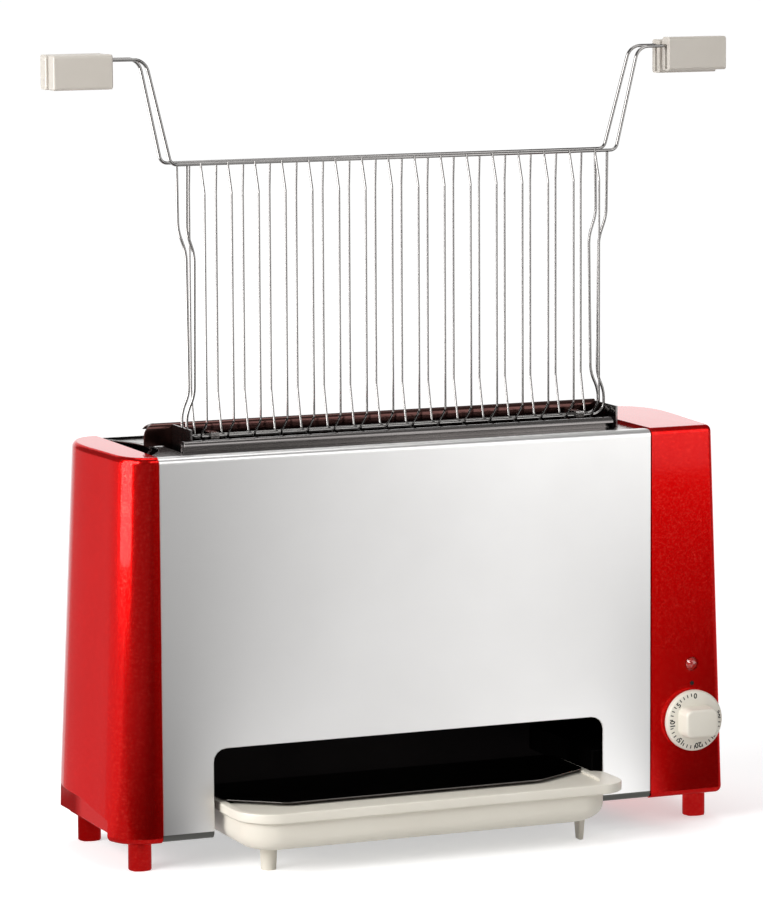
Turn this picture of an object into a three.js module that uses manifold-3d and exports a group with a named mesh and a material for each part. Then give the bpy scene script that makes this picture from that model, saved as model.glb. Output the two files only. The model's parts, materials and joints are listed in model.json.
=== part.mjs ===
// An upright electric grill: a wire basket stands in a slot between two heaters, over a drip tray.
// Millimetres. X runs along the body, the front looks to -Y, Z is up from the table. Lengths along Y
// are given back from the steel front, and the whole model is shifted at the end.
import * as THREE from 'three';
import { mergeVertices } from 'three/addons/utils/BufferGeometryUtils.js';
import Module from 'manifold-3d';

const wasm = await Module();
wasm.setup();

// Fits
const gap = 0.3; // between neighbouring pieces
const overrun = 1; // how far a cut runs past what it cuts
const halfShare = 0.5;

// Basket: two wire halves, open at the top, hinged at the bottom. Its width sets the slot's, the
// chamber's, the steel front's and the tray's.
const sideHalf = 140; // side wires from the basket's middle
const sideNeck = 5; // how far the side wires step in
const sideFlare = 5; // and out again near the bottom
const rimPast = 7; // ends of the rim wires past the side wires
const basketHeight = 166.5; // from the bottom wires to the rim wires
const basketOverShell = 5.3; // bottom wires of the raised basket over the housing
const basketShift = 2.5; // middle of the basket from the middle of the slot
const rimHalfGap = 8.75; // rim wires from the basket's middle plane
const foldHalfGap = 4; // bottom wires from the basket's middle plane
const rimWire = 2.1;
const sideWire = 1.8;
const gridWire = 1.4;
const neckDrops = [41, 55]; // below the rim
const flareRises = [25.5, 15, 4]; // above the bottom wire
const gridCount = 16; // grid wires in each half
const gridEndRoom = 3.75; // from the stepped-in side wires to the outermost grid wires
const frontBulge = 7; // grid wires in front of the front rim
const rearBulge = 2.5;
const bulgeDrop = 18;
const frontBulgeRise = 10;
const rearBulgeRise = 25;
const armLean = 16.5; // arms' tops past the rim's ends
const armRise = 61;
const armHalfGap = 5.5; // arms' flat ends from the middle plane
const armBend = 8;
const gripFromArm = 60.5; // outer end of the plastic grips past the arms' tops
const gripSlabLength = 37.5;
const gripSlabHeight = 21;
const gripSlabThick = 10.4;
const gripSlabRound = 2;
const gripAbove = 6.3; // grip's top over the wire
const gripSlotHeight = 15;
const gripSlotDepth = 26;
const clipWidth = 5.4;
const clipWall = 1.4;
const wireSides = 3; // half the number of sides of a thick wire's section
const gridWireSides = 2.5; // and of a grid wire's

// Housing
const bodyDepth = 116;
const capBottom = 18;
const capHeight = 235;
const steelUnderCap = 0.8; // top of the steel under the top of the caps
const steelOverCap = 0.5; // bottom of the steel over the bottom of the caps
const sheet = 1.2;
const frontBend = 4;
const returnDepth = 9; // how far the folded edges of the front and rear panels run in
const plateDrop = 1.5; // top plate under the folded edges' crest
const panelBendSteps = 2;

// Front cut-out for the tray
const cutFromSeam = 33.2;
const cutTop = 73.4;
const cutCorner = 8;

// Louvres and screws of the rear panel
const louvreCount = 7;
const louvreLength = 34;
const louvreHeight = 3.2;
const louvreFromSeam = 14;
const louvreDrops = [46.2, 36.2, 26.2]; // below the top of the steel
const screwHead = 7;
const screwHeadThick = 1.8;
const screwDomeShares = [0.3, 0.9]; // of the head's width and thickness
const screwShank = 3.5;
const screwLength = 7;
const screwInset = 14;

// End caps
const capProud = 0.6; // caps stand this far in front of the steel
const capBehind = 8; // and behind it
const capWall = 2.5;
const capEdge = 4; // rounding of the top and bottom edges
const capCurveSteps = 10;
const capEdgeSteps = 4;
const capDepth = bodyDepth + capBehind;
const leftCap = { side: -1, width: 35, depth: capDepth, topWidthShare: 0.69, topDepthShare: 0.935 };
const rightCap = { side: 1, width: 59, depth: capDepth, topWidthShare: 0.83, topDepthShare: 0.93 };
// The grip relief low in each cap's side: its front end, and its upper edge at the front and rear
const reliefStart = 19;
const reliefDepth = 6.5;
const reliefFrontTop = 31;
const reliefMiddle = 60;
const reliefMiddleTop = 39;
const reliefRearTop = 41.5;
const reliefLift = 6; // the wall's lower edge over the relief's length
const reliefReach = 15;

// Feet, moulded with the caps
const footSize = 11.5;
const footRound = 2.5;
const leftFootFromFront = 17;
const rightFootFromFront = 24;
const footFromRear = 14;
const leftFootOut = 9;
const rightFootOut = 42;

// Slot, lips and the opening beside the slot
const slotFromFront = 30;
const slotSideRoom = 4.5; // from the basket's bulged grid wires to the slot's edges
const slotEndRoom = 6; // from the basket's side wires to the slot's ends, on average
const lipSkirt = 5.5; // lip under the top plate
const frontLipRise = 3.7; // straight part over the top plate, before the roll
const rearLipRise = 10.4;
const lipRoll = 3.6;
const lipRollSteps = 8;
const frontLipLeftPast = 1; // lips past the slot's ends
const frontLipRightPast = -7;
const rearLipLeftPast = 12.5;
const rearLipRightPast = 0;
const slotEndClear = 0.8; // from the basket's side wires to the spring plates at the slot's ends
const slotEndRise = 13.3; // spring plates over the top plate
const ventWidth = 20;
const ventLength = 88;
const ventFromFront = 24;
const ventEdge = 1.5; // top plate left beside the cap

// Chamber
const chamberPastSlot = 3.4; // side plates past the slot's ends
const leftBay = 23.1; // from the chamber to the left seam
const rightBay = 4.1;
const chamberOverCut = 4.6; // chamber's bottom over the cut-out
const reflectorFromSlot = 16; // from the slot's edge to the reflector
const reflectorUnderPlate = 6.5;
const reflectorFlange = 6;
const heaterDiameter = 6.5;
const heaterFromSlot = 9;
const heaterPasses = 4;
const heaterFromWall = 21.4;
const heaterOverBottom = 26;
const heaterUnderTop = 19;
const heaterBendShare = 0.45; // of the pitch between the passes
const heaterOut = 15; // heater's cold ends past the side plate
const heaterSides = 4; // half the number of sides of its section
const bendSteps = 5;
const guardFromSlot = 3.2;
const guardRail = 2.6;
const guardWire = 1.8;
const guardOverBottom = 14;
const guardUnderTop = 9;
const guardCount = 9;
const guardFromWall = 15.4;
const bushFlange = 16;
const bushBody = 10.6;
const bushFlangeThick = 2.5;
const bushInside = 4;
const standoffWidth = 10;
const standoffFromBend = 32;
const railHeight = 14;
const railFromRear = 10;
const railDepth = 8;

// Drip tray, standing on its own feet
const trayFromCut = 9.3; // tray's rim from the cut-out's sides
const trayDepth = 100;
const trayOut = 46; // how far its rim stands in front of the steel in the rest pose
const trayRimTop = 40;
const trayRimHeight = 6;
const trayRimOut = 3;
const trayBottom = 16.5;
const trayWall = 2.4;
const trayFrontCorner = 25;
const trayRearCorner = 14;
const trayEdge = 8; // rounding under the tray
const trayCornerSteps = 5;
const trayEdgeSteps = 3;
const trayPost = 11; // left feet
const trayFin = 5; // right feet
const trayFinRoundShare = 1 / 3;
const trayPostFromSide = 20;
const trayFinFromSide = 12.5;
const trayFootFromFront = 32;
const trayFootFromRear = 16;
const trayGuideHeight = 16;
const trayGuideFromFront = 12;
const trayGuideClear = 0.5;

// Drip plate, lying on the tray's rim
const dripPlateThick = 0.8;
const dripPlateInset = 3; // from the rim's outer sides and rear
const dripPlateFromFront = 26.5; // from the tray's front
const dripPlateCuts = [[21.5, 16.6], [41, 22]]; // left and right front corners cut off, along X and Y
const dripPlateRearCut = 6;

// Timer, its knob and the pilot light
const dialOut = 28.2; // from the right seam
const dialHeight = 66.7;
const dialDiameter = 38.6;
const dialThick = 4.8;
const dialClear = 0.6;
const dialEdge = 1.2;
const gripWidth = 24;
const gripHeight = 19.5;
const gripProud = 15.5;
const gripCorner = 5;
const gripEdge = 1.6;
const shaftDiameter = 6;
const shaftInKnob = 11;
const shaftInTimer = 8;
const timerDiameter = 20.4;
const timerDepth = 22;
const timerBossDiameter = 10;
const bellDiameter = 20;
const bellDepth = 8;
const bellWall = 1;
const bellShoulderShare = 0.7;
const hammerDrop = 14; // from the bell's middle down to the hammer's pin
const hammerFromBell = 4; // from the bell's side to the hammer's middle
const hammerWidth = 4.6;
const hammerThick = 1.6;
const hammerHead = 4.5;
const hammerHeadLength = 5;
const hammerPin = 2.6;
const hammerEar = 2; // thickness of the works' ear that carries the pin
const lampHeight = 102.3;
const lensDiameter = 7.8;
const lensDome = 2.4;
const lensDomeShares = [0.3, 0.7]; // of the lens's width and its dome's height
const lensFlange = 1.4;
const lensFlangeThick = 1.2;
const lampDiameter = 5;
const lampLength = 15;

// Wiring parts
const blockSize = [13, 26, 16];
const blockFromRear = 50;
const blockHeight = 34;
const blockScrew = 5;
const blockScrewShares = [0.2, 0.5, 0.8];
const cutoutDiameter = 16;
const cutoutThick = 6;
const cutoutHeight = 170;
const glandProud = 3; // past the deepest part of the cap
const glandDiameter = 13;
const glandFlange = 18;
const glandBore = 8;
const glandFlangeThick = 3;
const glandOut = 24;
const glandHeight = 46;

// Places worked out from the sizes
const capTop = capBottom + capHeight;
const shellTop = capTop - steelUnderCap;
const shellBottom = capBottom + steelOverCap;
const plateTop = shellTop - plateDrop;
const plateBottom = plateTop - sheet;
const slotWidth = 2 * rimHalfGap + frontBulge + rearBulge + 2 * slotSideRoom;
const slotFront = slotFromFront;
const slotRear = slotFront + slotWidth;
const slotCentreY = slotFront + slotWidth / 2;
const slotHalf = sideHalf + slotEndRoom;
const chamberHalf = slotHalf + chamberPastSlot;
const seamLeft = -chamberHalf - leftBay;
const seamRight = chamberHalf + rightBay;
const steelShift = (seamLeft + seamRight) / 2;
const cutLeft = seamLeft + cutFromSeam;
const cutRight = seamRight - cutFromSeam;
const chamberBottom = cutTop + chamberOverCut;
const reflectorTop = plateBottom - reflectorUnderPlate;
const trayFront = -trayOut;
const dialX = seamRight + dialOut;
const capFront = -capProud;
const rearMost = capDepth + glandProud;
const originY = (trayFront + rearMost) / 2;
const rimHalf = sideHalf + rimPast;
const basketCentreY = slotCentreY + (frontBulge - rearBulge) / 2;
const foldHeight = shellTop + basketOverShell;
const rimHeight = foldHeight + basketHeight;
const armTopHalf = rimHalf + armLean;
const gripEnd = armTopHalf + gripFromArm;

const colours = {
  steel: [0xc9c8c5, 0.32, 1],
  brightSteel: [0xd8d8d6, 0.15, 1],
  darkSteel: [0x4a4744, 0.5, 1],
  heater: [0x3b3836, 0.6, 0.8],
  red: [0xc00d0d, 0.22, 0],
  cream: [0xded6c6, 0.45, 0],
  dark: [0x1c1b1a, 0.6, 0],
  brass: [0xb08d4a, 0.35, 1],
  ceramic: [0xe9e4d8, 0.7, 0],
  lens: [0xd0281e, 0.15, 0],
  lamp: [0xe8dcc8, 0.2, 0],
};

function solidOf(geometry) {
  const bare = geometry.clone();
  bare.deleteAttribute('normal');
  bare.deleteAttribute('uv');
  const merged = mergeVertices(bare);
  return new wasm.Manifold(
    new wasm.Mesh({
      numProp: 3,
      vertProperties: new Float32Array(merged.attributes.position.array),
      triVerts: new Uint32Array(merged.index.array),
    }),
  );
}

function geometryOf(solid) {
  const mesh = solid.getMesh();
  const geometry = new THREE.BufferGeometry();
  const places = new Float32Array(mesh.vertProperties);
  geometry.setAttribute('position', new THREE.BufferAttribute(places, 3));
  geometry.setIndex(new THREE.BufferAttribute(new Uint32Array(mesh.triVerts), 1));
  return geometry;
}

// Extrusions of a flat shape. Along X the shape lies in Y and Z, along Y it lies in X and Z.
function alongX(shape, from, to, options = {}) {
  const geometry = new THREE.ExtrudeGeometry(shape, { depth: to - from, bevelEnabled: false, ...options });
  const turn = new THREE.Matrix4().makeBasis(
    new THREE.Vector3(0, 1, 0),
    new THREE.Vector3(0, 0, 1),
    new THREE.Vector3(1, 0, 0),
  );
  return geometry.applyMatrix4(turn).translate(from, 0, 0);
}

function alongY(shape, from, to, options = {}) {
  const geometry = new THREE.ExtrudeGeometry(shape, { depth: to - from, bevelEnabled: false, ...options });
  const turn = new THREE.Matrix4().makeBasis(
    new THREE.Vector3(1, 0, 0),
    new THREE.Vector3(0, 0, 1),
    new THREE.Vector3(0, -1, 0),
  );
  return geometry.applyMatrix4(turn).translate(0, to, 0);
}

function alongZ(shape, from, to, options = {}) {
  const geometry = new THREE.ExtrudeGeometry(shape, { depth: to - from, bevelEnabled: false, ...options });
  return geometry.translate(0, 0, from);
}

function block(low, high) {
  const size = high.map((value, axis) => value - low[axis]);
  const middle = high.map((value, axis) => (value + low[axis]) / 2);
  return new THREE.BoxGeometry(...size).translate(...middle);
}

function polygon(points) {
  return new THREE.Shape(points.map(([u, v]) => new THREE.Vector2(u, v)));
}

function circle(u, v, radius) {
  return new THREE.Shape().absarc(u, v, radius, 0, 2 * Math.PI);
}

function roundedRectangle(left, bottom, right, top, radii) {
  const [atLeftBottom, atRightBottom, atRightTop, atLeftTop] = radii;
  const shape = new THREE.Shape();
  shape.moveTo(left + atLeftBottom, bottom);
  shape.lineTo(right - atRightBottom, bottom);
  shape.absarc(right - atRightBottom, bottom + atRightBottom, atRightBottom, -Math.PI / 2, 0);
  shape.lineTo(right, top - atRightTop);
  shape.absarc(right - atRightTop, top - atRightTop, atRightTop, 0, Math.PI / 2);
  shape.lineTo(left + atLeftTop, top);
  shape.absarc(left + atLeftTop, top - atLeftTop, atLeftTop, Math.PI / 2, Math.PI);
  shape.lineTo(left, bottom + atLeftBottom);
  shape.absarc(left + atLeftBottom, bottom + atLeftBottom, atLeftBottom, Math.PI, 1.5 * Math.PI);
  return shape;
}

// A turned piece: its profile holds [radius, place along the axis], and the axis is +X, +Y or -Y.
function turned(profile, segments, axis, centre) {
  const points = profile.map(([radius, along]) => new THREE.Vector2(radius, along));
  if (THREE.ShapeUtils.area(points) < 0) points.reverse();
  const geometry = new THREE.LatheGeometry(points, segments);
  if (axis === 'x') geometry.rotateZ(-Math.PI / 2);
  if (axis === '-y') geometry.rotateX(Math.PI);
  return geometry.translate(...centre);
}

// A route for a bent wire: the corners of a polyline, each rounded to the bend radius.
class WireRoute extends THREE.Curve {
  constructor(corners, radius, steps) {
    super();
    const spots = corners.map((corner) => new THREE.Vector3(...corner));
    this.spots = [spots[0]];
    for (let i = 1; i < spots.length - 1; i += 1) {
      const back = spots[i - 1].clone().sub(spots[i]).normalize();
      const ahead = spots[i + 1].clone().sub(spots[i]).normalize();
      const half = back.angleTo(ahead) / 2;
      const reach = radius / Math.tan(half);
      const inward = back.clone().add(ahead).normalize();
      const centre = spots[i].clone().addScaledVector(inward, radius / Math.sin(half));
      const start = spots[i].clone().addScaledVector(back, reach).sub(centre);
      const normal = new THREE.Vector3().crossVectors(ahead, back).normalize();
      for (let k = 0; k <= steps; k += 1) {
        const angle = ((Math.PI - 2 * half) * k) / steps;
        this.spots.push(start.clone().applyAxisAngle(normal, angle).add(centre));
      }
    }
    this.spots.push(spots[spots.length - 1]);
  }

  getPoint(t, target = new THREE.Vector3()) {
    const spans = this.spots.length - 1;
    const span = Math.min(Math.floor(t * spans), spans - 1);
    return target.copy(this.spots[span]).lerp(this.spots[span + 1], t * spans - span);
  }

  getPointAt(u, target) {
    return this.getPoint(u, target);
  }

  getTangentAt(u, target) {
    return this.getTangent(u, target);
  }
}

function wire(corners, diameter, bend, halfSides, steps = bendSteps) {
  const route = new WireRoute(corners, bend, steps);
  return new THREE.ExtrudeGeometry(circle(0, 0, diameter / 2), {
    steps: route.spots.length - 1,
    curveSegments: halfSides,
    extrudePath: route,
  });
}

const model = new THREE.Group();

function place(name, geometry, colour) {
  const [color, roughness, metalness] = colours[colour];
  const mesh = new THREE.Mesh(geometry, new THREE.MeshStandardMaterial({ color, roughness, metalness }));
  mesh.name = name;
  model.add(mesh);
}

// Front and rear panels: sheet folded in at the top and the bottom.
function foldedSheet(height) {
  const inner = frontBend - sheet;
  const shape = new THREE.Shape();
  shape.moveTo(returnDepth, 0);
  shape.lineTo(returnDepth, sheet);
  shape.lineTo(frontBend, sheet);
  shape.absarc(frontBend, frontBend, inner, 1.5 * Math.PI, Math.PI, true);
  shape.lineTo(sheet, height - frontBend);
  shape.absarc(frontBend, height - frontBend, inner, Math.PI, Math.PI / 2, true);
  shape.lineTo(returnDepth, height - sheet);
  shape.lineTo(returnDepth, height);
  shape.lineTo(frontBend, height);
  shape.absarc(frontBend, height - frontBend, frontBend, Math.PI / 2, Math.PI);
  shape.lineTo(0, frontBend);
  shape.absarc(frontBend, frontBend, frontBend, Math.PI, 1.5 * Math.PI);
  return shape;
}

function steelPanel() {
  const from = seamLeft + gap / 2;
  const to = seamRight - gap / 2;
  const folded = alongX(foldedSheet(shellTop - shellBottom), from, to, { curveSegments: panelBendSteps });
  return folded.translate(0, 0, shellBottom);
}

const trayDoor = roundedRectangle(
  cutLeft,
  shellBottom - overrun,
  cutRight,
  cutTop,
  [0, 0, cutCorner, cutCorner],
);
const frontPanel = solidOf(steelPanel()).subtract(
  solidOf(alongY(trayDoor, -overrun, returnDepth + overrun, { curveSegments: panelBendSteps })),
);
place('front_panel', geometryOf(frontPanel), 'steel');

const rearShell = steelPanel()
  .rotateZ(Math.PI)
  .translate(2 * steelShift, bodyDepth, 0);
const screwPlaces = [
  [seamLeft + screwInset, shellBottom + screwInset],
  [seamRight - screwInset, shellBottom + screwInset],
  [seamLeft + screwInset, shellTop - screwInset],
  [seamRight - screwInset, shellTop - screwInset],
];
let rearPanel = solidOf(rearShell);
const louvreStart = seamLeft + louvreFromSeam;
const louvrePitch = (seamRight - louvreFromSeam - louvreLength - louvreStart) / (louvreCount - 1);
for (const drop of louvreDrops) {
  const row = shellTop - drop;
  for (let i = 0; i < louvreCount; i += 1) {
    const from = louvreStart + i * louvrePitch;
    const low = [from, bodyDepth - sheet - overrun, row];
    const high = [from + louvreLength, bodyDepth + overrun, row + louvreHeight];
    rearPanel = rearPanel.subtract(solidOf(block(low, high)));
  }
}
for (const [x, z] of screwPlaces) {
  const hole = circle(x, z, screwShank / 2 + 2 * gap);
  const bore = alongY(hole, bodyDepth - sheet - overrun, bodyDepth + overrun, { curveSegments: 4 });
  rearPanel = rearPanel.subtract(solidOf(bore));
}
place('rear_panel', geometryOf(rearPanel), 'steel');

const screwProfile = [
  [0, screwHeadThick],
  [screwHead * screwDomeShares[0], screwHeadThick * screwDomeShares[1]],
  [screwHead / 2, 0],
  [screwShank / 2, 0],
  [screwShank / 2, -screwLength],
  [0, -screwLength],
];
screwPlaces.forEach(([x, z], i) => {
  const centre = [x, bodyDepth + gap, z];
  place(`rear_screw_${i + 1}`, turned(screwProfile, 10, 'y', centre), 'brightSteel');
});

// Top plate, with the basket's slot and the long opening beside the left cap
const plateFront = frontBend;
const plateRear = bodyDepth - frontBend;
const plateLow = [seamLeft + gap / 2, plateFront, plateBottom];
const plateHigh = [seamRight - gap / 2, plateRear, plateTop];
const slotCut = block(
  [-slotHalf, slotFront, plateBottom - overrun],
  [slotHalf, slotRear, plateTop + overrun],
);
const ventLeft = seamLeft + ventEdge;
const ventMiddle = ventFromFront + ventLength / 2;
const ventShape = new THREE.Shape();
ventShape.moveTo(ventLeft, ventFromFront);
ventShape.quadraticCurveTo(ventLeft + 2 * ventWidth, ventMiddle, ventLeft, ventFromFront + ventLength);
const ventCut = alongZ(ventShape, plateBottom - overrun, plateTop + overrun, { curveSegments: 8 });
const topPlate = solidOf(block(plateLow, plateHigh)).subtract(solidOf(slotCut)).subtract(solidOf(ventCut));
place('top_plate', geometryOf(topPlate), 'steel');

// Lips along the slot: a skirt in the slot, and an edge rolled away from it over the top plate
function lipShape(rise) {
  const low = plateBottom - lipSkirt;
  const rollHeight = plateTop + rise;
  const shape = new THREE.Shape();
  shape.moveTo(0, low);
  shape.lineTo(0, rollHeight);
  shape.absarc(-lipRoll, rollHeight, lipRoll, 0, Math.PI);
  shape.lineTo(sheet - 2 * lipRoll, rollHeight);
  shape.absarc(-lipRoll, rollHeight, lipRoll - sheet, Math.PI, 0, true);
  shape.lineTo(-sheet, low);
  return shape;
}

// Over the slot's ends only the part above the top plate runs on.
function lipSolid(rise, low, high) {
  const whole = solidOf(alongX(lipShape(rise), low, high, { curveSegments: lipRollSteps }));
  const slotEnd = slotHalf - gap;
  const under = [-lipRoll, plateBottom - lipSkirt - overrun];
  const over = [overrun, plateTop + gap];
  const leftTrim = block([low - overrun, ...under], [-slotEnd, ...over]);
  const rightTrim = block([slotEnd, ...under], [high + slotHalf, ...over]);
  return whole.subtract(solidOf(leftTrim)).subtract(solidOf(rightTrim));
}
const lipLine = sheet + gap;
const frontLipSolid = lipSolid(frontLipRise, -slotHalf - frontLipLeftPast, slotHalf + frontLipRightPast);
const rearLipSolid = lipSolid(rearLipRise, -slotHalf - rearLipRightPast, slotHalf + rearLipLeftPast);
const frontLip = geometryOf(frontLipSolid);
const rearLip = geometryOf(rearLipSolid).rotateZ(Math.PI);
place('front_lip', frontLip.translate(0, slotFront + lipLine, 0), 'brightSteel');
place('rear_lip', rearLip.translate(0, slotRear - lipLine, 0), 'brightSteel');

// Spring plates at the slot's ends, which hold the raised basket by its flared side wires
function slotEnd(side) {
  const inside = basketShift + side * (sideHalf + sideWire / 2 + slotEndClear);
  const outside = inside + side * sheet;
  const wall = side * (chamberHalf - gap);
  const foot = plateBottom - lipSkirt;
  const shape = polygon([
    [inside, foot],
    [inside, plateTop + slotEndRise],
    [outside, plateTop + slotEndRise],
    [outside, foot + sheet],
    [wall, foot + sheet],
    [wall, foot],
  ]);
  return alongY(shape, slotFront + lipLine + gap, slotRear - lipLine - gap);
}
place('slot_end_left', slotEnd(-1), 'brightSteel');
place('slot_end_right', slotEnd(1), 'brightSteel');

// End caps
const seams = { [-1]: seamLeft, 1: seamRight };

// Plan outlines in [out from the seam, back from the front], as shares of the cap's width and depth
const leftCurveShares = [
  [[0.41, 0], [0.84, 0.03], [0.88, 0.24]],
  [[0.92, 0.38], [1, 0.52], [1, 0.64]],
  [[1, 0.86], [0.64, 1], [0.1, 1]],
];
const rightCurveShares = [
  [[0.85, 0], [0.886, 0.03], [0.893, 0.09]],
  [[0.908, 0.28], [1, 0.5], [1, 0.7]],
  [[1, 0.88], [0.8, 1], [0.5, 1]],
];
const frontFlatShares = { [-1]: 0.14, 1: 0.78 };

function capOutline(cap, inset) {
  const curves = cap.side < 0 ? leftCurveShares : rightCurveShares;
  const width = cap.width - inset;
  const depth = cap.depth + capProud - 2 * inset;
  const inner = -capEdge - overrun;
  const front = capFront + inset;
  const at = ([outShare, backShare]) => [
    seams[cap.side] + cap.side * outShare * width,
    front + backShare * depth,
  ];
  const start = seams[cap.side] + cap.side * inner;
  const shape = new THREE.Shape();
  shape.moveTo(start, front);
  shape.lineTo(...at([frontFlatShares[cap.side], 0]));
  for (const [first, second, end] of curves) shape.bezierCurveTo(...at(first), ...at(second), ...at(end));
  shape.lineTo(start, front + depth);
  return shape;
}

// Draws the upright walls in towards the top, from the seam and from the front.
function draft(geometry, cap) {
  const position = geometry.attributes.position;
  for (let i = 0; i < position.count; i += 1) {
    const rise = (position.getZ(i) - capBottom) / (capTop - capBottom);
    const out = 1 - (1 - cap.topWidthShare) * rise;
    const back = 1 - (1 - cap.topDepthShare) * rise;
    position.setX(i, seams[cap.side] + (position.getX(i) - seams[cap.side]) * out);
    position.setY(i, capFront + (position.getY(i) - capFront) * back);
  }
  return geometry;
}

function reliefCut(cap, margin) {
  const reach = cap.width - reliefDepth - margin;
  const beyond = cap.width + overrun;
  const seam = seams[cap.side];
  const rear = cap.depth + overrun;
  const shape = polygon([
    [reliefStart - margin, capBottom - overrun],
    [rear, capBottom - overrun],
    [rear, reliefRearTop + margin],
    [reliefMiddle, reliefMiddleTop + margin],
    [reliefStart - margin, reliefFrontTop + margin],
  ]);
  const ends = [seam + cap.side * reach, seam + cap.side * beyond];
  const side = solidOf(alongX(shape, Math.min(...ends), Math.max(...ends)));
  const underEnds = [seam + cap.side * (cap.width - reliefReach - margin), seam + cap.side * beyond];
  const under = block(
    [Math.min(...underEnds), reliefStart - margin, capBottom - overrun],
    [Math.max(...underEnds), rear, capBottom + reliefLift + margin],
  );
  return side.add(solidOf(under));
}

function foot(x, y) {
  const half = footSize / 2;
  const radii = [footRound, footRound, footRound, footRound];
  const shape = roundedRectangle(x - half, y - half, x + half, y + half, radii);
  return solidOf(alongZ(shape, 0, capBottom + reliefLift + capWall + gap, { curveSegments: 2 }));
}

function capSolid(cap, footOut, footFromFront) {
  const seam = seams[cap.side];
  const outer = alongZ(capOutline(cap, 0), capBottom + capEdge, capTop - capEdge, {
    curveSegments: capCurveSteps,
    bevelEnabled: true,
    bevelThickness: capEdge,
    bevelSize: capEdge,
    bevelOffset: -capEdge,
    bevelSegments: capEdgeSteps,
  });
  const inner = alongZ(capOutline(cap, capWall), capBottom + capWall, capTop - capWall, {
    curveSegments: capCurveSteps,
  });
  const cavity = solidOf(draft(inner, cap)).subtract(reliefCut(cap, capWall));
  const faceLine = seam + (cap.side * gap) / 2;
  const far = seam - cap.side * (capEdge + 2 * overrun);
  const trim = block(
    [Math.min(faceLine, far), capFront - overrun, capBottom - overrun],
    [Math.max(faceLine, far), cap.depth + overrun, capTop + overrun],
  );
  const footX = seam + cap.side * footOut;
  return solidOf(draft(outer, cap))
    .subtract(cavity)
    .subtract(reliefCut(cap, 0))
    .subtract(solidOf(trim))
    .add(foot(footX, footFromFront))
    .add(foot(footX, cap.depth - footFromRear));
}

place('left_end_cap', geometryOf(capSolid(leftCap, leftFootOut, leftFootFromFront)), 'red');

const capFace = capFront + capWall;
const shaftBore = shaftDiameter / 2 + 2 * gap;
const lensBore = lensDiameter / 2 + 2 * gap;
const glandX = seamRight + glandOut;
const openings = [
  [circle(dialX, dialHeight, shaftBore), capFront - overrun, capFace + overrun],
  [circle(dialX, lampHeight, lensBore), capFront - overrun, capFace + overrun],
  [circle(glandX, glandHeight, glandDiameter / 2 + 2 * gap), bodyDepth, rearMost],
];
let rightCapSolid = capSolid(rightCap, rightFootOut, rightFootFromFront);
for (const [shape, from, to] of openings) {
  rightCapSolid = rightCapSolid.subtract(solidOf(alongY(shape, from, to, { curveSegments: 5 })));
}
place('right_end_cap', geometryOf(rightCapSolid), 'red');

// Side plates of the chamber, with holes for the cold ends of the heaters
const sideTop = plateBottom - gap;
const sideFront = sheet + 2 * gap;
const sideRear = bodyDepth - sideFront;
const sideBottom = shellBottom + sheet + gap;
const heaterHalf = chamberHalf - heaterFromWall;
const heaterLow = chamberBottom + heaterOverBottom;
const heaterHigh = reflectorTop - heaterUnderTop;
const heaterPitch = (heaterHigh - heaterLow) / (heaterPasses - 1);
const heaterLines = [slotFront - heaterFromSlot, slotRear + heaterFromSlot];
const bushHole = bushBody / 2 + 2 * gap;
const plateShape = polygon([
  [sideFront, cutTop],
  [returnDepth + gap, cutTop],
  [returnDepth + gap, sideBottom],
  [bodyDepth - returnDepth - gap, sideBottom],
  [bodyDepth - returnDepth - gap, shellBottom + returnDepth],
  [sideRear, shellBottom + returnDepth],
  [sideRear, sideTop],
  [sideFront, sideTop],
]);
const leftPlate = alongX(plateShape, -chamberHalf - sheet, -chamberHalf);
place('left_side_plate', leftPlate, 'darkSteel');
let rightPlate = solidOf(alongX(plateShape, chamberHalf, chamberHalf + sheet));
const bushPlaces = heaterLines.flatMap((y) => [heaterLow, heaterHigh].map((z) => [y, z]));
for (const [y, z] of bushPlaces) {
  const hole = alongX(circle(y, z, bushHole), chamberHalf - overrun, chamberHalf + sheet + overrun, {
    curveSegments: 5,
  });
  rightPlate = rightPlate.subtract(solidOf(hole));
}
place('right_side_plate', geometryOf(rightPlate), 'darkSteel');

// Reflectors behind the heaters, their edges folded towards the slot
function reflectorShape() {
  return polygon([
    [0, 0],
    [reflectorFlange, 0],
    [reflectorFlange, sheet],
    [sheet, sheet],
    [sheet, reflectorTop - chamberBottom - sheet],
    [reflectorFlange, reflectorTop - chamberBottom - sheet],
    [reflectorFlange, reflectorTop - chamberBottom],
    [0, reflectorTop - chamberBottom],
  ]);
}
const reflectorHalf = chamberHalf - gap;
const reflectorFront = slotFront - reflectorFromSlot;
const reflectorRear = slotRear + reflectorFromSlot;
const reflector = () => alongX(reflectorShape(), -reflectorHalf, reflectorHalf);
const rearReflector = reflector().rotateZ(Math.PI);
place('front_reflector', reflector().translate(0, reflectorFront, chamberBottom), 'darkSteel');
place('rear_reflector', rearReflector.translate(0, reflectorRear, chamberBottom), 'darkSteel');

// Heaters: one tube in passes, both cold ends out through the right side plate
function heaterRoute(y) {
  const corners = [];
  const cold = chamberHalf + sheet + heaterOut;
  for (let pass = 0; pass < heaterPasses; pass += 1) {
    const z = heaterLow + pass * heaterPitch;
    const ends = pass % 2 === 0 ? [heaterHalf, -heaterHalf] : [-heaterHalf, heaterHalf];
    corners.push([ends[0], y, z], [ends[1], y, z]);
  }
  corners[0][0] = cold;
  corners[corners.length - 1][0] = cold;
  return corners;
}
const heaterBend = heaterPitch * heaterBendShare;
const heaterNames = ['front_heater', 'rear_heater'];
heaterLines.forEach((y, i) => {
  place(heaterNames[i], wire(heaterRoute(y), heaterDiameter, heaterBend, heaterSides), 'heater');
});

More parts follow.
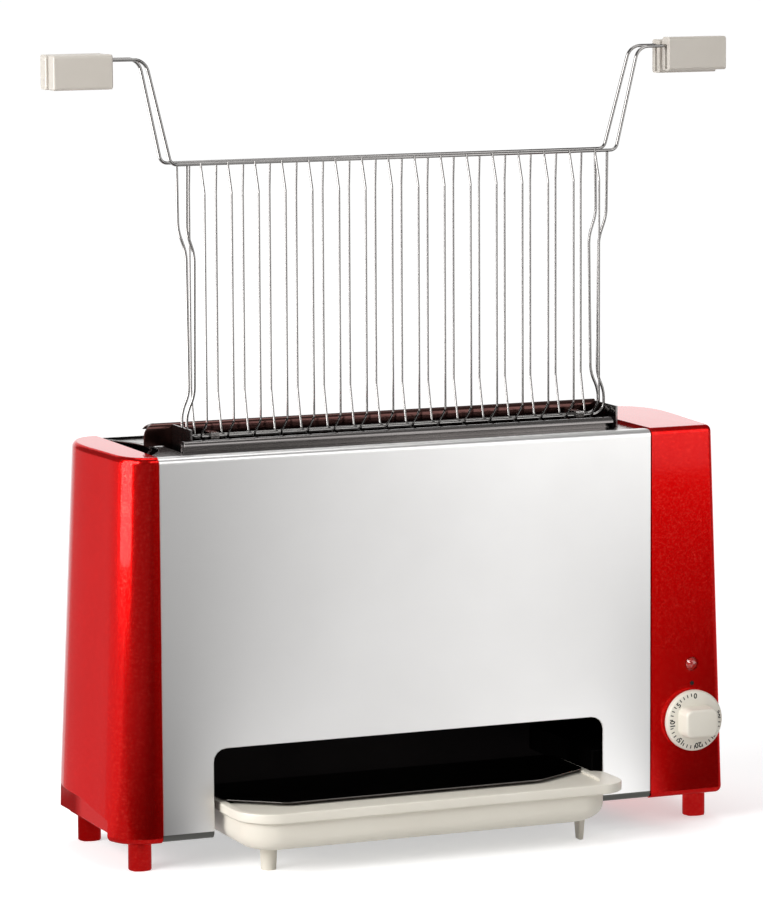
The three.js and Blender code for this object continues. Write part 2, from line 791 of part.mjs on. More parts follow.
const bushStart = chamberHalf - bushInside;
const bushProfile = [
  [heaterDiameter / 2 + gap, 0],
  [heaterDiameter / 2 + gap, bushInside + sheet + gap + bushFlangeThick],
  [bushFlange / 2, bushInside + sheet + gap + bushFlangeThick],
  [bushFlange / 2, bushInside + sheet + gap],
  [bushBody / 2, bushInside + sheet + gap],
  [bushBody / 2, 0],
  [heaterDiameter / 2 + gap, 0],
];
bushPlaces.forEach(([y, z], i) => {
  place(`ceramic_bush_${i + 1}`, turned(bushProfile, 16, 'x', [bushStart, y, z]), 'ceramic');
});

// Standoffs that hold the far bends of the heaters off the reflectors
const standoffX = standoffFromBend - heaterHalf;
const standoffLow = heaterLow - heaterDiameter;
const standoffHigh = heaterHigh + heaterDiameter;
const tubeHalf = heaterDiameter / 2 + gap;
const frontStandoff = block(
  [standoffX - standoffWidth / 2, reflectorFront + sheet + gap, standoffLow],
  [standoffX + standoffWidth / 2, heaterLines[0] - tubeHalf, standoffHigh],
);
const rearStandoff = block(
  [standoffX - standoffWidth / 2, heaterLines[1] + tubeHalf, standoffLow],
  [standoffX + standoffWidth / 2, reflectorRear - sheet - gap, standoffHigh],
);
place('front_heater_standoff', frontStandoff, 'darkSteel');
place('rear_heater_standoff', rearStandoff, 'darkSteel');

// Wire guards between the heaters and the basket
const guardLow = chamberBottom + guardOverBottom;
const guardHigh = reflectorTop - guardUnderTop;
const guardSpan = 2 * (chamberHalf - guardFromWall);

function guard(y) {
  const reach = chamberHalf - gap;
  const rail = (z) => solidOf(wire([[-reach, y, z], [reach, y, z]], guardRail, guardRail, wireSides));
  let whole = rail(guardLow).add(rail(guardHigh));
  for (let i = 0; i < guardCount; i += 1) {
    const x = guardSpan * (i / (guardCount - 1) - halfShare);
    const line = [[x, y, guardLow], [x, y, guardHigh]];
    whole = whole.add(solidOf(wire(line, guardWire, guardWire, wireSides)));
  }
  return geometryOf(whole);
}
place('front_guard', guard(slotFront - guardFromSlot), 'brightSteel');
place('rear_guard', guard(slotRear + guardFromSlot), 'brightSteel');

// Cross rail that ties the side plates together low at the rear
const railRear = bodyDepth - railFromRear;
const railLow = [-chamberHalf + gap, railRear - railDepth, chamberBottom - railHeight - gap];
const railHigh = [chamberHalf - gap, railRear, chamberBottom - gap];
const railHollow = block(
  [railLow[0] - overrun, railLow[1] + sheet, railLow[2] - overrun],
  [railHigh[0] + overrun, railHigh[1] - sheet, railHigh[2] - sheet],
);
const crossRail = solidOf(block(railLow, railHigh)).subtract(solidOf(railHollow));
place('rear_cross_rail', geometryOf(crossRail), 'darkSteel');

// Drip tray
const trayLeft = cutLeft + trayFromCut;
const trayRight = cutRight - trayFromCut;
const trayRear = trayFront + trayDepth;
const rimUnder = trayRimTop - trayRimHeight;

function trayOutline(inset) {
  const front = trayFrontCorner - inset;
  const rear = Math.max(trayRearCorner - inset, trayWall);
  const radii = [front, front, rear, rear];
  return roundedRectangle(trayLeft + inset, trayFront + inset, trayRight - inset, trayRear - inset, radii);
}

function trayBowl(inset, low, high, edge) {
  return solidOf(
    alongZ(trayOutline(inset), low + edge, high, {
      curveSegments: trayCornerSteps,
      bevelEnabled: true,
      bevelThickness: edge,
      bevelSize: edge,
      bevelOffset: -edge,
      bevelSegments: trayEdgeSteps,
    }),
  );
}

const over = block(
  [trayLeft, trayFront, trayRimTop],
  [trayRight, trayRear, trayRimTop + 2 * trayEdge + overrun],
);
let tray = trayBowl(trayRimOut, trayBottom, trayRimTop, trayEdge).subtract(solidOf(over));
tray = tray.add(solidOf(alongZ(trayOutline(0), rimUnder, trayRimTop, { curveSegments: trayCornerSteps })));
const bowlInset = trayRimOut + trayWall;
tray = tray.subtract(trayBowl(bowlInset, trayBottom + trayWall, trayRimTop + overrun, trayEdge - trayWall));
const trayFeet = [trayFront + trayFootFromFront, trayRear - trayFootFromRear];
for (const y of trayFeet) {
  const post = circle(trayLeft + trayPostFromSide, y, trayPost / 2);
  const finX = trayRight - trayFinFromSide;
  const finRound = trayFin * trayFinRoundShare;
  const radii = [finRound, finRound, finRound, finRound];
  const fin = roundedRectangle(finX - trayFin / 2, y - trayFin, finX + trayFin / 2, y + trayFin, radii);
  for (const shape of [post, fin]) {
    tray = tray.add(solidOf(alongZ(shape, 0, trayBottom + trayWall, { curveSegments: 4 })));
  }
}
place('drip_tray', geometryOf(tray), 'cream');

// Drip plate over the tray: fat runs off its cut corners and its front edge
const dripLeft = trayLeft + dripPlateInset;
const dripRight = trayRight - dripPlateInset;
const dripFront = trayFront + dripPlateFromFront;
const dripRear = trayRear - dripPlateInset;
const dripUnder = trayRimTop + gap;
const [leftCut, rightCut] = dripPlateCuts;
const dripOutline = polygon([
  [dripLeft + leftCut[0], dripFront],
  [dripRight - rightCut[0], dripFront],
  [dripRight, dripFront + rightCut[1]],
  [dripRight, dripRear - dripPlateRearCut],
  [dripRight - dripPlateRearCut, dripRear],
  [dripLeft + dripPlateRearCut, dripRear],
  [dripLeft, dripRear - dripPlateRearCut],
  [dripLeft, dripFront + leftCut[1]],
]);
place('drip_plate', alongZ(dripOutline, dripUnder, dripUnder + dripPlateThick), 'darkSteel');

// Guides that lead the tray in between the side plates
function trayGuide(side) {
  const lipX = side < 0 ? trayLeft - trayGuideClear : trayRight + trayGuideClear;
  const wallX = side * (chamberHalf - gap);
  const shape = polygon([
    [lipX, rimUnder],
    [lipX, rimUnder + trayGuideHeight],
    [wallX, rimUnder + trayGuideHeight],
    [wallX, rimUnder + trayGuideHeight - sheet],
    [lipX + side * sheet, rimUnder + trayGuideHeight - sheet],
    [lipX + side * sheet, rimUnder],
  ]);
  return alongY(shape, trayGuideFromFront, railRear);
}
place('tray_guide_left', trayGuide(-1), 'darkSteel');
place('tray_guide_right', trayGuide(1), 'darkSteel');

// Timer: knob, shaft, works, bell and its hammer
const dialBack = capFront - dialClear;
const dialFace = dialBack - dialThick;
const dialRadius = dialDiameter / 2;
const dialProfile = [
  [0, 0],
  [dialRadius - dialEdge, 0],
  [dialRadius, dialEdge],
  [dialRadius, dialThick - dialEdge],
  [dialRadius - dialEdge, dialThick],
  [0, dialThick],
];
const dialCentre = [dialX, dialBack, dialHeight];
const disc = turned(dialProfile, 32, '-y', dialCentre);
const gripRadii = [gripCorner, gripCorner, gripCorner, gripCorner];
const gripShape = roundedRectangle(
  dialX - gripWidth / 2,
  dialHeight - gripHeight / 2,
  dialX + gripWidth / 2,
  dialHeight + gripHeight / 2,
  gripRadii,
);
const gripBlock = alongY(gripShape, dialFace - gripProud + gripEdge, dialFace + dialThick / 2, {
  curveSegments: 3,
  bevelEnabled: true,
  bevelThickness: gripEdge,
  bevelSize: gripEdge,
  bevelOffset: -gripEdge,
  bevelSegments: 2,
});
const shaftFront = dialBack - shaftInKnob;
const knobBore = alongY(circle(dialX, dialHeight, shaftDiameter / 2 + gap), shaftFront - gap, capFront, {
  curveSegments: 5,
});
const knob = solidOf(disc).add(solidOf(gripBlock)).subtract(solidOf(knobBore));
place('timer_knob', geometryOf(knob), 'cream');

const timerFront = capFace + gap;
const timerRear = timerFront + timerDepth;
const shaftRear = timerFront + shaftInTimer;
const shaftSection = circle(dialX, dialHeight, shaftDiameter / 2);
const shaft = alongY(shaftSection, shaftFront, shaftRear, { curveSegments: 5 });
place('timer_shaft', shaft, 'brightSteel');

const bellRadius = bellDiameter / 2;
const hammerX = dialX - bellRadius - hammerFromBell;
const hammerZ = dialHeight - hammerDrop;
const earRear = timerRear;
const earFront = earRear - hammerEar;
const hammerFront = earRear + gap;
const hammerRear = hammerFront + hammerThick;
const cylinderY = (x, z, radius, from, to, sides) =>
  solidOf(alongY(circle(x, z, radius), from, to, { curveSegments: sides / 2 }));
const ear = solidOf(
  block([hammerX - hammerWidth / 2, earFront, hammerZ - hammerWidth / 2], [dialX, earRear, dialHeight]),
);
const works = cylinderY(dialX, dialHeight, timerDiameter / 2, timerFront, timerRear, 18)
  .add(cylinderY(dialX, dialHeight, timerBossDiameter / 2, timerRear - overrun, timerRear + bellDepth, 12))
  .add(ear)
  .add(cylinderY(hammerX, hammerZ, hammerPin / 2, earRear - overrun, hammerRear + overrun, 10))
  .subtract(cylinderY(dialX, dialHeight, shaftBore, timerFront - overrun, shaftRear + gap, 12));
place('timer_works', geometryOf(works), 'dark');

const bossFit = timerBossDiameter / 2 + gap;
const shoulder = bellRadius * bellShoulderShare;
const bellProfile = [
  [bossFit, bellDepth],
  [shoulder, bellDepth],
  [bellRadius, bellDepth / 2],
  [bellRadius, 0],
  [bellRadius - bellWall, 0],
  [bellRadius - bellWall, bellDepth / 2 - bellWall / 2],
  [shoulder - bellWall / 2, bellDepth - bellWall],
  [bossFit, bellDepth - bellWall],
  [bossFit, bellDepth],
];
place('timer_bell', turned(bellProfile, 20, 'y', [dialX, timerRear + gap, dialHeight]), 'brass');

const hammerArm = solidOf(
  block(
    [hammerX - hammerWidth / 2, hammerFront, hammerZ - hammerWidth / 2],
    [hammerX + hammerWidth / 2, hammerRear, dialHeight],
  ),
);
const pinHole = hammerPin / 2 + gap;
const hammer = hammerArm
  .add(cylinderY(hammerX, dialHeight, hammerHead / 2, hammerFront, hammerFront + hammerHeadLength, 12))
  .subtract(cylinderY(hammerX, hammerZ, pinHole, hammerFront - overrun, hammerRear + overrun, 12));
place('bell_hammer', geometryOf(hammer), 'brightSteel');

// Pilot light: lens in the cap, lamp behind it
const lensProfile = [
  [0, lensDome + capWall],
  [lensDiameter * lensDomeShares[0], lensDome * lensDomeShares[1] + capWall],
  [lensDiameter / 2, capWall],
  [lensDiameter / 2, -gap],
  [lensDiameter / 2 + lensFlange, -gap],
  [lensDiameter / 2 + lensFlange, -gap - lensFlangeThick],
  [0, -gap - lensFlangeThick],
];
place('pilot_lens', turned(lensProfile, 16, '-y', [dialX, capFace, lampHeight]), 'lens');
const lampFront = capFace + 2 * gap + lensFlangeThick;
const lamp = alongY(circle(dialX, lampHeight, lampDiameter / 2), lampFront, lampFront + lampLength, {
  curveSegments: 4,
});
place('pilot_lamp', lamp, 'lamp');

// Wiring parts on the outside of the right side plate, and the cord's gland in the right cap's rear wall
const wallOutside = chamberHalf + sheet + gap;
const blockLow = [wallOutside, bodyDepth - blockFromRear, blockHeight];
const blockHigh = blockLow.map((value, axis) => value + blockSize[axis]);
let terminalBlock = solidOf(block(blockLow, blockHigh));
for (const share of blockScrewShares) {
  const y = blockLow[1] + share * blockSize[1];
  const z = (blockLow[2] + blockHigh[2]) / 2;
  const well = alongX(circle(y, z, blockScrew / 2), blockHigh[0] - blockScrew, blockHigh[0] + overrun, {
    curveSegments: 4,
  });
  terminalBlock = terminalBlock.subtract(solidOf(well));
}
place('terminal_block', geometryOf(terminalBlock), 'ceramic');
const cutoutDisc = alongX(
  circle(slotCentreY, cutoutHeight, cutoutDiameter / 2),
  wallOutside,
  wallOutside + cutoutThick,
  { curveSegments: 6 },
);
place('thermal_cutout', cutoutDisc, 'dark');

const glandStem = rearMost - bodyDepth;
const glandProfile = [
  [glandBore / 2, 0],
  [glandDiameter / 2, 0],
  [glandDiameter / 2, glandStem - glandFlangeThick],
  [glandFlange / 2, glandStem - glandFlangeThick],
  [glandFlange / 2, glandStem - glandFlangeThick / 2],
  [glandBore / 2 + glandFlangeThick / 2, glandStem],
  [glandBore / 2, glandStem],
  [glandBore / 2, 0],
];
place('cord_gland', turned(glandProfile, 16, 'y', [glandX, bodyDepth, glandHeight]), 'dark');

// Basket halves. The lean carries each half's side wires from the rim's plane to the bottom wire's.
const gridPitch = (2 * (sideHalf - sideNeck - gridEndRoom)) / (gridCount - 1);
function placeInBasket(name, geometry, colour) {
  place(name, geometry.translate(basketShift, 0, 0), colour);
}
const rimUnderside = rimHeight - rimWire / 2 - gap;

function halfPlane(half, z) {
  const share = (z - foldHeight) / (rimHeight - foldHeight);
  return basketCentreY + half * (foldHalfGap + (rimHalfGap - foldHalfGap) * share);
}

function frameWire(half) {
  const rimY = basketCentreY + half * rimHalfGap;
  const armY = basketCentreY + half * armHalfGap;
  const armZ = rimHeight + armRise;
  const armEnd = gripEnd - gripSlabLength + gripSlotDepth - gap;
  const corners = [
    [-armEnd, armY, armZ],
    [-armTopHalf, armY, armZ],
    [-rimHalf, rimY, rimHeight],
    [rimHalf, rimY, rimHeight],
    [armTopHalf, armY, armZ],
    [armEnd, armY, armZ],
  ];
  return wire(corners, rimWire, armBend, wireSides, bendSteps - 1);
}

function gridHalf(half, bulge, bulgeRise) {
  const [neckStart, neckEnd] = neckDrops.map((drop) => rimHeight - drop);
  const [flareTop, flareFull, flareEnd] = flareRises.map((rise) => foldHeight + rise);
  const corner = (out, z) => [out, halfPlane(half, z), z];
  const side = [
    corner(sideHalf, rimUnderside),
    corner(sideHalf, neckStart),
    corner(sideHalf - sideNeck, neckEnd),
    corner(sideHalf - sideNeck, flareTop),
    corner(sideHalf - sideNeck + sideFlare, flareFull),
    corner(sideHalf - sideNeck + sideFlare, flareEnd),
    corner(sideHalf - sideNeck, foldHeight),
  ];
  const mirrored = side.map(([x, y, z]) => [-x, y, z]).reverse();
  let whole = solidOf(wire([...side, ...mirrored], sideWire, sideWire, wireSides, 2));
  const outer = basketCentreY + half * (rimHalfGap + bulge);
  for (let i = 0; i < gridCount; i += 1) {
    const x = gridPitch * (i - (gridCount - 1) / 2);
    const line = [
      [x, halfPlane(half, rimHeight), rimUnderside],
      [x, outer, rimHeight - bulgeDrop],
      [x, outer, foldHeight + bulgeRise],
      [x, halfPlane(half, foldHeight), foldHeight],
    ];
    whole = whole.add(solidOf(wire(line, gridWire, gridWire, gridWireSides, 1)));
  }
  return geometryOf(whole);
}

placeInBasket('front_basket_frame', frameWire(-1), 'brightSteel');
placeInBasket('rear_basket_frame', frameWire(1), 'brightSteel');
placeInBasket('front_basket_grid', gridHalf(-1, frontBulge, frontBulgeRise), 'brightSteel');
placeInBasket('rear_basket_grid', gridHalf(1, rearBulge, rearBulgeRise), 'brightSteel');

// Grips: slabs with a deep slot in the inner end, which takes the wire
function gripSlab(half, side) {
  const y = basketCentreY + half * armHalfGap;
  const top = rimHeight + armRise + gripAbove;
  const inner = gripEnd - gripSlabLength;
  const shape = roundedRectangle(
    y - gripSlabThick / 2,
    top - gripSlabHeight,
    y + gripSlabThick / 2,
    top,
    [gripSlabRound, gripSlabRound, gripSlabRound, gripSlabRound],
  );
  const ends = [side * inner, side * gripEnd];
  const slab = alongX(shape, Math.min(...ends), Math.max(...ends), { curveSegments: 2 });
  const slotHalf = rimWire / 2 + gap;
  const slotTop = rimHeight + armRise + slotHalf;
  const slotEnds = [side * (inner - overrun), side * (inner + gripSlotDepth)];
  const slot = block(
    [Math.min(...slotEnds), y - slotHalf, slotTop - gripSlotHeight],
    [Math.max(...slotEnds), y + slotHalf, slotTop],
  );
  return geometryOf(solidOf(slab).subtract(solidOf(slot)));
}
for (const [half, halfName] of [[-1, 'front'], [1, 'rear']]) {
  for (const [side, sideName] of [[-1, 'left'], [1, 'right']]) {
    placeInBasket(`${halfName}_${sideName}_grip`, gripSlab(half, side), 'cream');
  }
}

// Hinge clips: each goes round both bottom wires, between a front and a rear grid wire
const clipPlace = (gridCount / 2 - 1) * gridPitch;
function hingeClip(x) {
  const reachY = foldHalfGap + sideWire / 2 + gap + clipWall;
  const reachZ = sideWire / 2 + gap + clipWall;
  let clip = solidOf(
    block(
      [x - clipWidth / 2, basketCentreY - reachY, foldHeight - reachZ],
      [x + clipWidth / 2, basketCentreY + reachY, foldHeight + reachZ],
    ),
  );
  for (const half of [-1, 1]) {
    const bore = circle(basketCentreY + half * foldHalfGap, foldHeight, sideWire / 2 + gap);
    const reachX = clipWidth / 2 + overrun;
    clip = clip.subtract(solidOf(alongX(bore, x - reachX, x + reachX, { curveSegments: 4 })));
  }
  return geometryOf(clip);
}
placeInBasket('hinge_clip_left', hingeClip(-clipPlace), 'brightSteel');
placeInBasket('hinge_clip_right', hingeClip(clipPlace), 'brightSteel');

// The origin lies under the middle of the whole object.
model.position.set(-basketShift, -originY, 0);

export default model;
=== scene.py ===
import json
import math

import bmesh
import bpy
from mathutils import Matrix, Vector


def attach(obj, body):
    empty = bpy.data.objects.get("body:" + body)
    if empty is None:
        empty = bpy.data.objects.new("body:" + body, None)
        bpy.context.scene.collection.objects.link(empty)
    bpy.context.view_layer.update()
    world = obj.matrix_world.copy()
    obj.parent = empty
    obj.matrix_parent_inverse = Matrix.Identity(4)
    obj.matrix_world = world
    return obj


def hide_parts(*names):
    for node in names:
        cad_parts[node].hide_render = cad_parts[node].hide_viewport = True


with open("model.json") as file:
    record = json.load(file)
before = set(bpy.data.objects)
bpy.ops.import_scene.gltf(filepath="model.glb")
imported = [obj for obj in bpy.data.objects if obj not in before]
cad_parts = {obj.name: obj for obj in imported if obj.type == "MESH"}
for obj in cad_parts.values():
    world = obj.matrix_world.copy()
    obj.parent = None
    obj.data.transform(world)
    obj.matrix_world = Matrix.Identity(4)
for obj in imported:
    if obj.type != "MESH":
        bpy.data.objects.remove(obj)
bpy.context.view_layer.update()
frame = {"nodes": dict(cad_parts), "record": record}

nodes = frame["nodes"]
mm = 0.001
print("frame loaded:", len(nodes), "parts")


def newObject(name, data):
    made = bpy.data.objects.new(name, data)
    bpy.context.scene.collection.objects.link(made)
    return made


# The camera stands to the left of the front and a little above the object
cameraSet = {
    "lens": 185.51,
    "clip": (0.1, 200),
    "place": (-1.1071, -2.6187, 0.6196),
    "yaw": 22.652,
    "pitch": 7.545,
    "roll": -0.310,
}


def makeCamera():
    yaw, pitch, roll = (math.radians(cameraSet[key]) for key in ("yaw", "pitch", "roll"))
    right = Vector((math.cos(yaw), -math.sin(yaw), 0))
    ahead = Vector((math.sin(yaw) * math.cos(pitch), math.cos(yaw) * math.cos(pitch), -math.sin(pitch)))
    up = right.cross(ahead)
    across = right * math.cos(roll) + up * math.sin(roll)
    upright = up * math.cos(roll) - right * math.sin(roll)
    camera = newObject("camera", bpy.data.cameras.new("camera"))
    camera.data.lens = cameraSet["lens"]
    camera.data.clip_start, camera.data.clip_end = cameraSet["clip"]
    turn = Matrix((across, upright, -ahead)).transposed().to_4x4()
    camera.matrix_world = Matrix.Translation(cameraSet["place"]) @ turn
    bpy.context.scene.camera = camera


makeCamera()
bpy.context.scene.view_settings.view_transform = "Standard"


# Shader helpers: a socket is fed by another socket, a colour or a number
def addNode(tree, kind, **settings):
    node = tree.nodes.new(kind)
    for key, value in settings.items():
        setattr(node, key, value)
    return node


def feed(tree, socket, value):
    if isinstance(value, bpy.types.NodeSocket):
        tree.links.new(value, socket)
    elif isinstance(value, (tuple, list)):
        socket.default_value = (*value, 1)
    else:
        socket.default_value = value


def feedAll(tree, node, values):
    for key, value in values.items():
        feed(tree, node.inputs[key], value)


def mathNode(tree, operation, first, second, clamp=False):
    node = addNode(tree, "ShaderNodeMath", operation=operation, use_clamp=clamp)
    feedAll(tree, node, {0: first, 1: second})
    return node.outputs[0]


def mixColour(tree, factor, first, second):
    node = addNode(tree, "ShaderNodeMix", data_type="RGBA")
    feedAll(tree, node, {0: factor, 6: first, 7: second})
    return node.outputs[2]


def rangeOf(tree, value, low, high, outLow, outHigh):
    node = addNode(tree, "ShaderNodeMapRange")
    feedAll(tree, node, {0: value, 1: low, 2: high, 3: outLow, 4: outHigh})
    return node.outputs[0]


def axesOf(tree, vector):
    split = addNode(tree, "ShaderNodeSeparateXYZ")
    feed(tree, split.inputs[0], vector)
    return split.outputs


def newGroup(name, settings, outputs):
    group = bpy.data.node_groups.new(name, "ShaderNodeTree")
    group.interface.new_socket("Vector", in_out="INPUT", socket_type="NodeSocketVector")
    for label, value in settings.items():
        socket = group.interface.new_socket(label, in_out="INPUT", socket_type="NodeSocketFloat")
        socket.default_value = value
    for label in outputs:
        group.interface.new_socket(label, in_out="OUTPUT", socket_type="NodeSocketFloat")
    given = group.nodes.new("NodeGroupInput").outputs
    end = group.nodes.new("NodeGroupOutput")
    return group, given, end


# Soft uneven patches, such as handling marks and mould flow, from 0 to 1
def makePatches():
    group, given, end = newGroup("patches", {"Scale": 20.0, "Contrast": 2.0}, ["Mask"])
    noise = addNode(group, "ShaderNodeTexNoise")
    feedAll(group, noise, {"Vector": given["Vector"], "Scale": given["Scale"]})
    feedAll(group, noise, {"Detail": 3, "Roughness": 0.55})
    centred = mathNode(group, "SUBTRACT", noise.outputs["Fac"], 0.5)
    spread = mathNode(group, "MULTIPLY", centred, given["Contrast"])
    feedAll(group, end, {"Mask": mathNode(group, "ADD", spread, 0.5, clamp=True)})
    return group


# Fine parallel lines along X, as rolled and brushed sheet has
def makeBrushed():
    group, given, end = newGroup("brushed", {"Lines": 900.0, "Length": 12.0}, ["Lines", "Height"])
    axes = axesOf(group, given["Vector"])
    joined = addNode(group, "ShaderNodeCombineXYZ")
    for axis, density in enumerate(("Length", "Lines", "Lines")):
        feedAll(group, joined, {axis: mathNode(group, "MULTIPLY", axes[axis], given[density])})
    noise = addNode(group, "ShaderNodeTexNoise")
    feedAll(group, noise, {"Vector": joined.outputs[0], "Scale": 1, "Detail": 2})
    height = noise.outputs["Fac"]
    feedAll(group, end, {"Lines": rangeOf(group, height, 0.3, 0.7, 0, 1), "Height": height})
    return group


# Tiny flakes under a clear coat
def makeFlakes():
    group, given, end = newGroup("flakes", {"Scale": 1500.0, "Share": 0.3}, ["Flakes"])
    cells = addNode(group, "ShaderNodeTexVoronoi")
    feedAll(group, cells, {"Vector": given["Vector"], "Scale": given["Scale"]})
    split = addNode(group, "ShaderNodeSeparateColor")
    feed(group, split.inputs[0], cells.outputs["Color"])
    lit = mathNode(group, "LESS_THAN", split.outputs[0], given["Share"])
    feedAll(group, end, {"Flakes": mathNode(group, "MULTIPLY", lit, split.outputs[1])})
    return group


groups = {
    "patches": makePatches(),
    "brushed": makeBrushed(),
    "flakes": makeFlakes(),
}


def useGroup(tree, name, vector, **values):
    node = addNode(tree, "ShaderNodeGroup", node_tree=groups[name])
    feedAll(tree, node, {"Vector": vector, **values})
    return node.outputs


def newMaterial(name, kind="ShaderNodeBsdfPrincipled"):
    material = bpy.data.materials.new(name)
    material.use_nodes = True
    tree = material.node_tree
    tree.nodes.clear()
    shader = addNode(tree, kind)
    output = addNode(tree, "ShaderNodeOutputMaterial")
    tree.links.new(shader.outputs[0], output.inputs[0])
    return material, tree, shader


def placeOf(tree):
    return addNode(tree, "ShaderNodeTexCoord").outputs["Object"]


def addBump(tree, shader, height, strength, distance):
    bump = addNode(tree, "ShaderNodeBump")
    feedAll(tree, bump, {"Strength": strength, "Distance": distance, "Height": height})
    feedAll(tree, shader, {"Normal": bump.outputs[0]})


# Metals: colour, darker patch colour, roughness range, strength of the rolling lines and edge tint
metalSets = {
    "satinSteel": {
        "clean": (0.86, 0.85, 0.84), "dull": (0.80, 0.79, 0.78), "rough": (0.27, 0.34), "lines": 0.08
    },
    "brightSteel": {
        "clean": (0.78, 0.77, 0.76), "dull": (0.62, 0.60, 0.58), "rough": (0.08, 0.18), "lines": 0.02
    },
    "deckSteel": {
        "clean": (0.50, 0.48, 0.47), "dull": (0.42, 0.40, 0.39), "rough": (0.2, 0.3), "lines": 0.06
    },
    # The lip steel is a darker copy of the bright steel: painted shade on the front lip and the slot's
    # ends
    "lipShadeSteel": {
        "clean": (0.22, 0.205, 0.20), "dull": (0.16, 0.15, 0.145), "rough": (0.14, 0.24), "lines": 0.05
    },
    # The rear lip steel is dark maroon: a painted reflection of the red caps, with painted shade
    "rearLipReflectionSteel": {
        "clean": (0.11, 0.05, 0.045), "dull": (0.07, 0.035, 0.03), "rough": (0.12, 0.22), "lines": 0.03
    },
    # The wire steel is a darker copy of the bright steel: painted shade for the dark surroundings the
    # wires reflect
    "wireShadeSteel": {
        "clean": (0.33, 0.32, 0.31), "dull": (0.25, 0.24, 0.235), "rough": (0.1, 0.18), "lines": 0.02
    },
    # The fold steel is a dark copy of the satin steel: painted shade on the front sheet's lower fold
    "foldShadeSteel": {
        "clean": (0.15, 0.15, 0.14), "dull": (0.11, 0.11, 0.10), "rough": (0.3, 0.4), "lines": 0.06
    },
    "ovenSteel": {
        "clean": (0.010, 0.009, 0.009), "dull": (0.006, 0.005, 0.005), "rough": (0.5, 0.65), "lines": 0.06,
        "edge": 0.08
    },
    "plateSteel": {
        "clean": (0.16, 0.15, 0.145), "dull": (0.11, 0.10, 0.095), "rough": (0.1, 0.2), "lines": 0.04
    },
    "heaterSteel": {
        "clean": (0.10, 0.09, 0.085), "dull": (0.05, 0.04, 0.038), "rough": (0.5, 0.7), "lines": 0
    },
    "bellBrass": {
        "clean": (0.62, 0.44, 0.17), "dull": (0.45, 0.30, 0.12), "rough": (0.2, 0.35), "lines": 0.03
    },
}


def makeMetal(name):
    metal = metalSets[name]
    material, tree, shader = newMaterial(name)
    place = placeOf(tree)
    patches = useGroup(tree, "patches", place, Scale=14.0, Contrast=1.3)[0]
    lines, height = useGroup(tree, "brushed", place)
    colour = mixColour(tree, patches, metal["dull"], metal["clean"])
    lineAmount = rangeOf(tree, lines, 0, 1, 0, metal["lines"])
    feedAll(tree, shader, {
        "Base Color": mixColour(tree, lineAmount, colour, metal["dull"]),
        "Roughness": rangeOf(tree, patches, 0, 1, *metal["rough"][::-1]),
        "Metallic": 1,
        "Specular Tint": (metal.get("edge", 1),) * 3,
    })
    if metal["lines"]:
        addBump(tree, shader, height, metal["lines"], distance=0.00006)
    return material


# Plastics: colour, patch colour and roughness range
plasticSets = {
    "creamPlastic": {"clean": (0.80, 0.76, 0.665), "patch": (0.76, 0.715, 0.62), "rough": (0.34, 0.44)},
    # The grip plastic is a darker copy of the cream: partly the grips' own more taupe tone, partly painted
    # shade
    "gripPlastic": {"clean": (0.61, 0.565, 0.505), "patch": (0.57, 0.525, 0.465), "rough": (0.3, 0.4)},
    "blackPlastic": {"clean": (0.022, 0.021, 0.02), "patch": (0.032, 0.03, 0.028), "rough": (0.45, 0.6)},
    "whiteCeramic": {"clean": (0.80, 0.77, 0.69), "patch": (0.70, 0.66, 0.57), "rough": (0.5, 0.7)},
    "scaleInk": {
        "clean": (0.012, 0.012, 0.012), "patch": (0.02, 0.02, 0.019), "rough": (0.5, 0.62), "shine": 0.1
    },
}


def makePlastic(name):
    plastic = plasticSets[name]
    material, tree, shader = newMaterial(name)
    place = placeOf(tree)
    patches = useGroup(tree, "patches", place, Scale=22.0, Contrast=1.8)[0]
    feedAll(tree, shader, {
        "Base Color": mixColour(tree, patches, plastic["patch"], plastic["clean"]),
        "Roughness": rangeOf(tree, patches, 0, 1, *plastic["rough"][::-1]),
        "Specular IOR Level": plastic.get("shine", 0.5),
    })
    grain = useGroup(tree, "patches", place, Scale=1500.0, Contrast=1.5)[0]
    addBump(tree, shader, grain, strength=0.08, distance=0.00003)
    return material


# Glossy red caps with a fine fleck under a coat that shows at a glancing angle
redSet = {
    "clean": (0.62, 0.002, 0.002),
    "deep": (0.54, 0.001, 0.001),
    "fleck": (0.95, 0.07, 0.05),
    "fleckAmount": 0.35,
    "metal": 0.92,
    "rough": (0.27, 0.21),
    "shine": 0.1,
    "edge": (0.75, 0.03, 0.03),
    "coat": (0.18, 1.0),
    "coatRough": 0.05,
    "glancing": (0.72, 0.88),
    "shade": (0.16, 0.0008, 0.0008),
    "shadeDepth": 0.85,
    # Each axis with the two places on it, in metres, between which the shade sets in
    "shadeSpans": [(0, (-0.165, -0.17)), (1, (0.026, 0.04)), (1, (0.076, 0.070)), (2, (0.0392, 0.0386))],
}


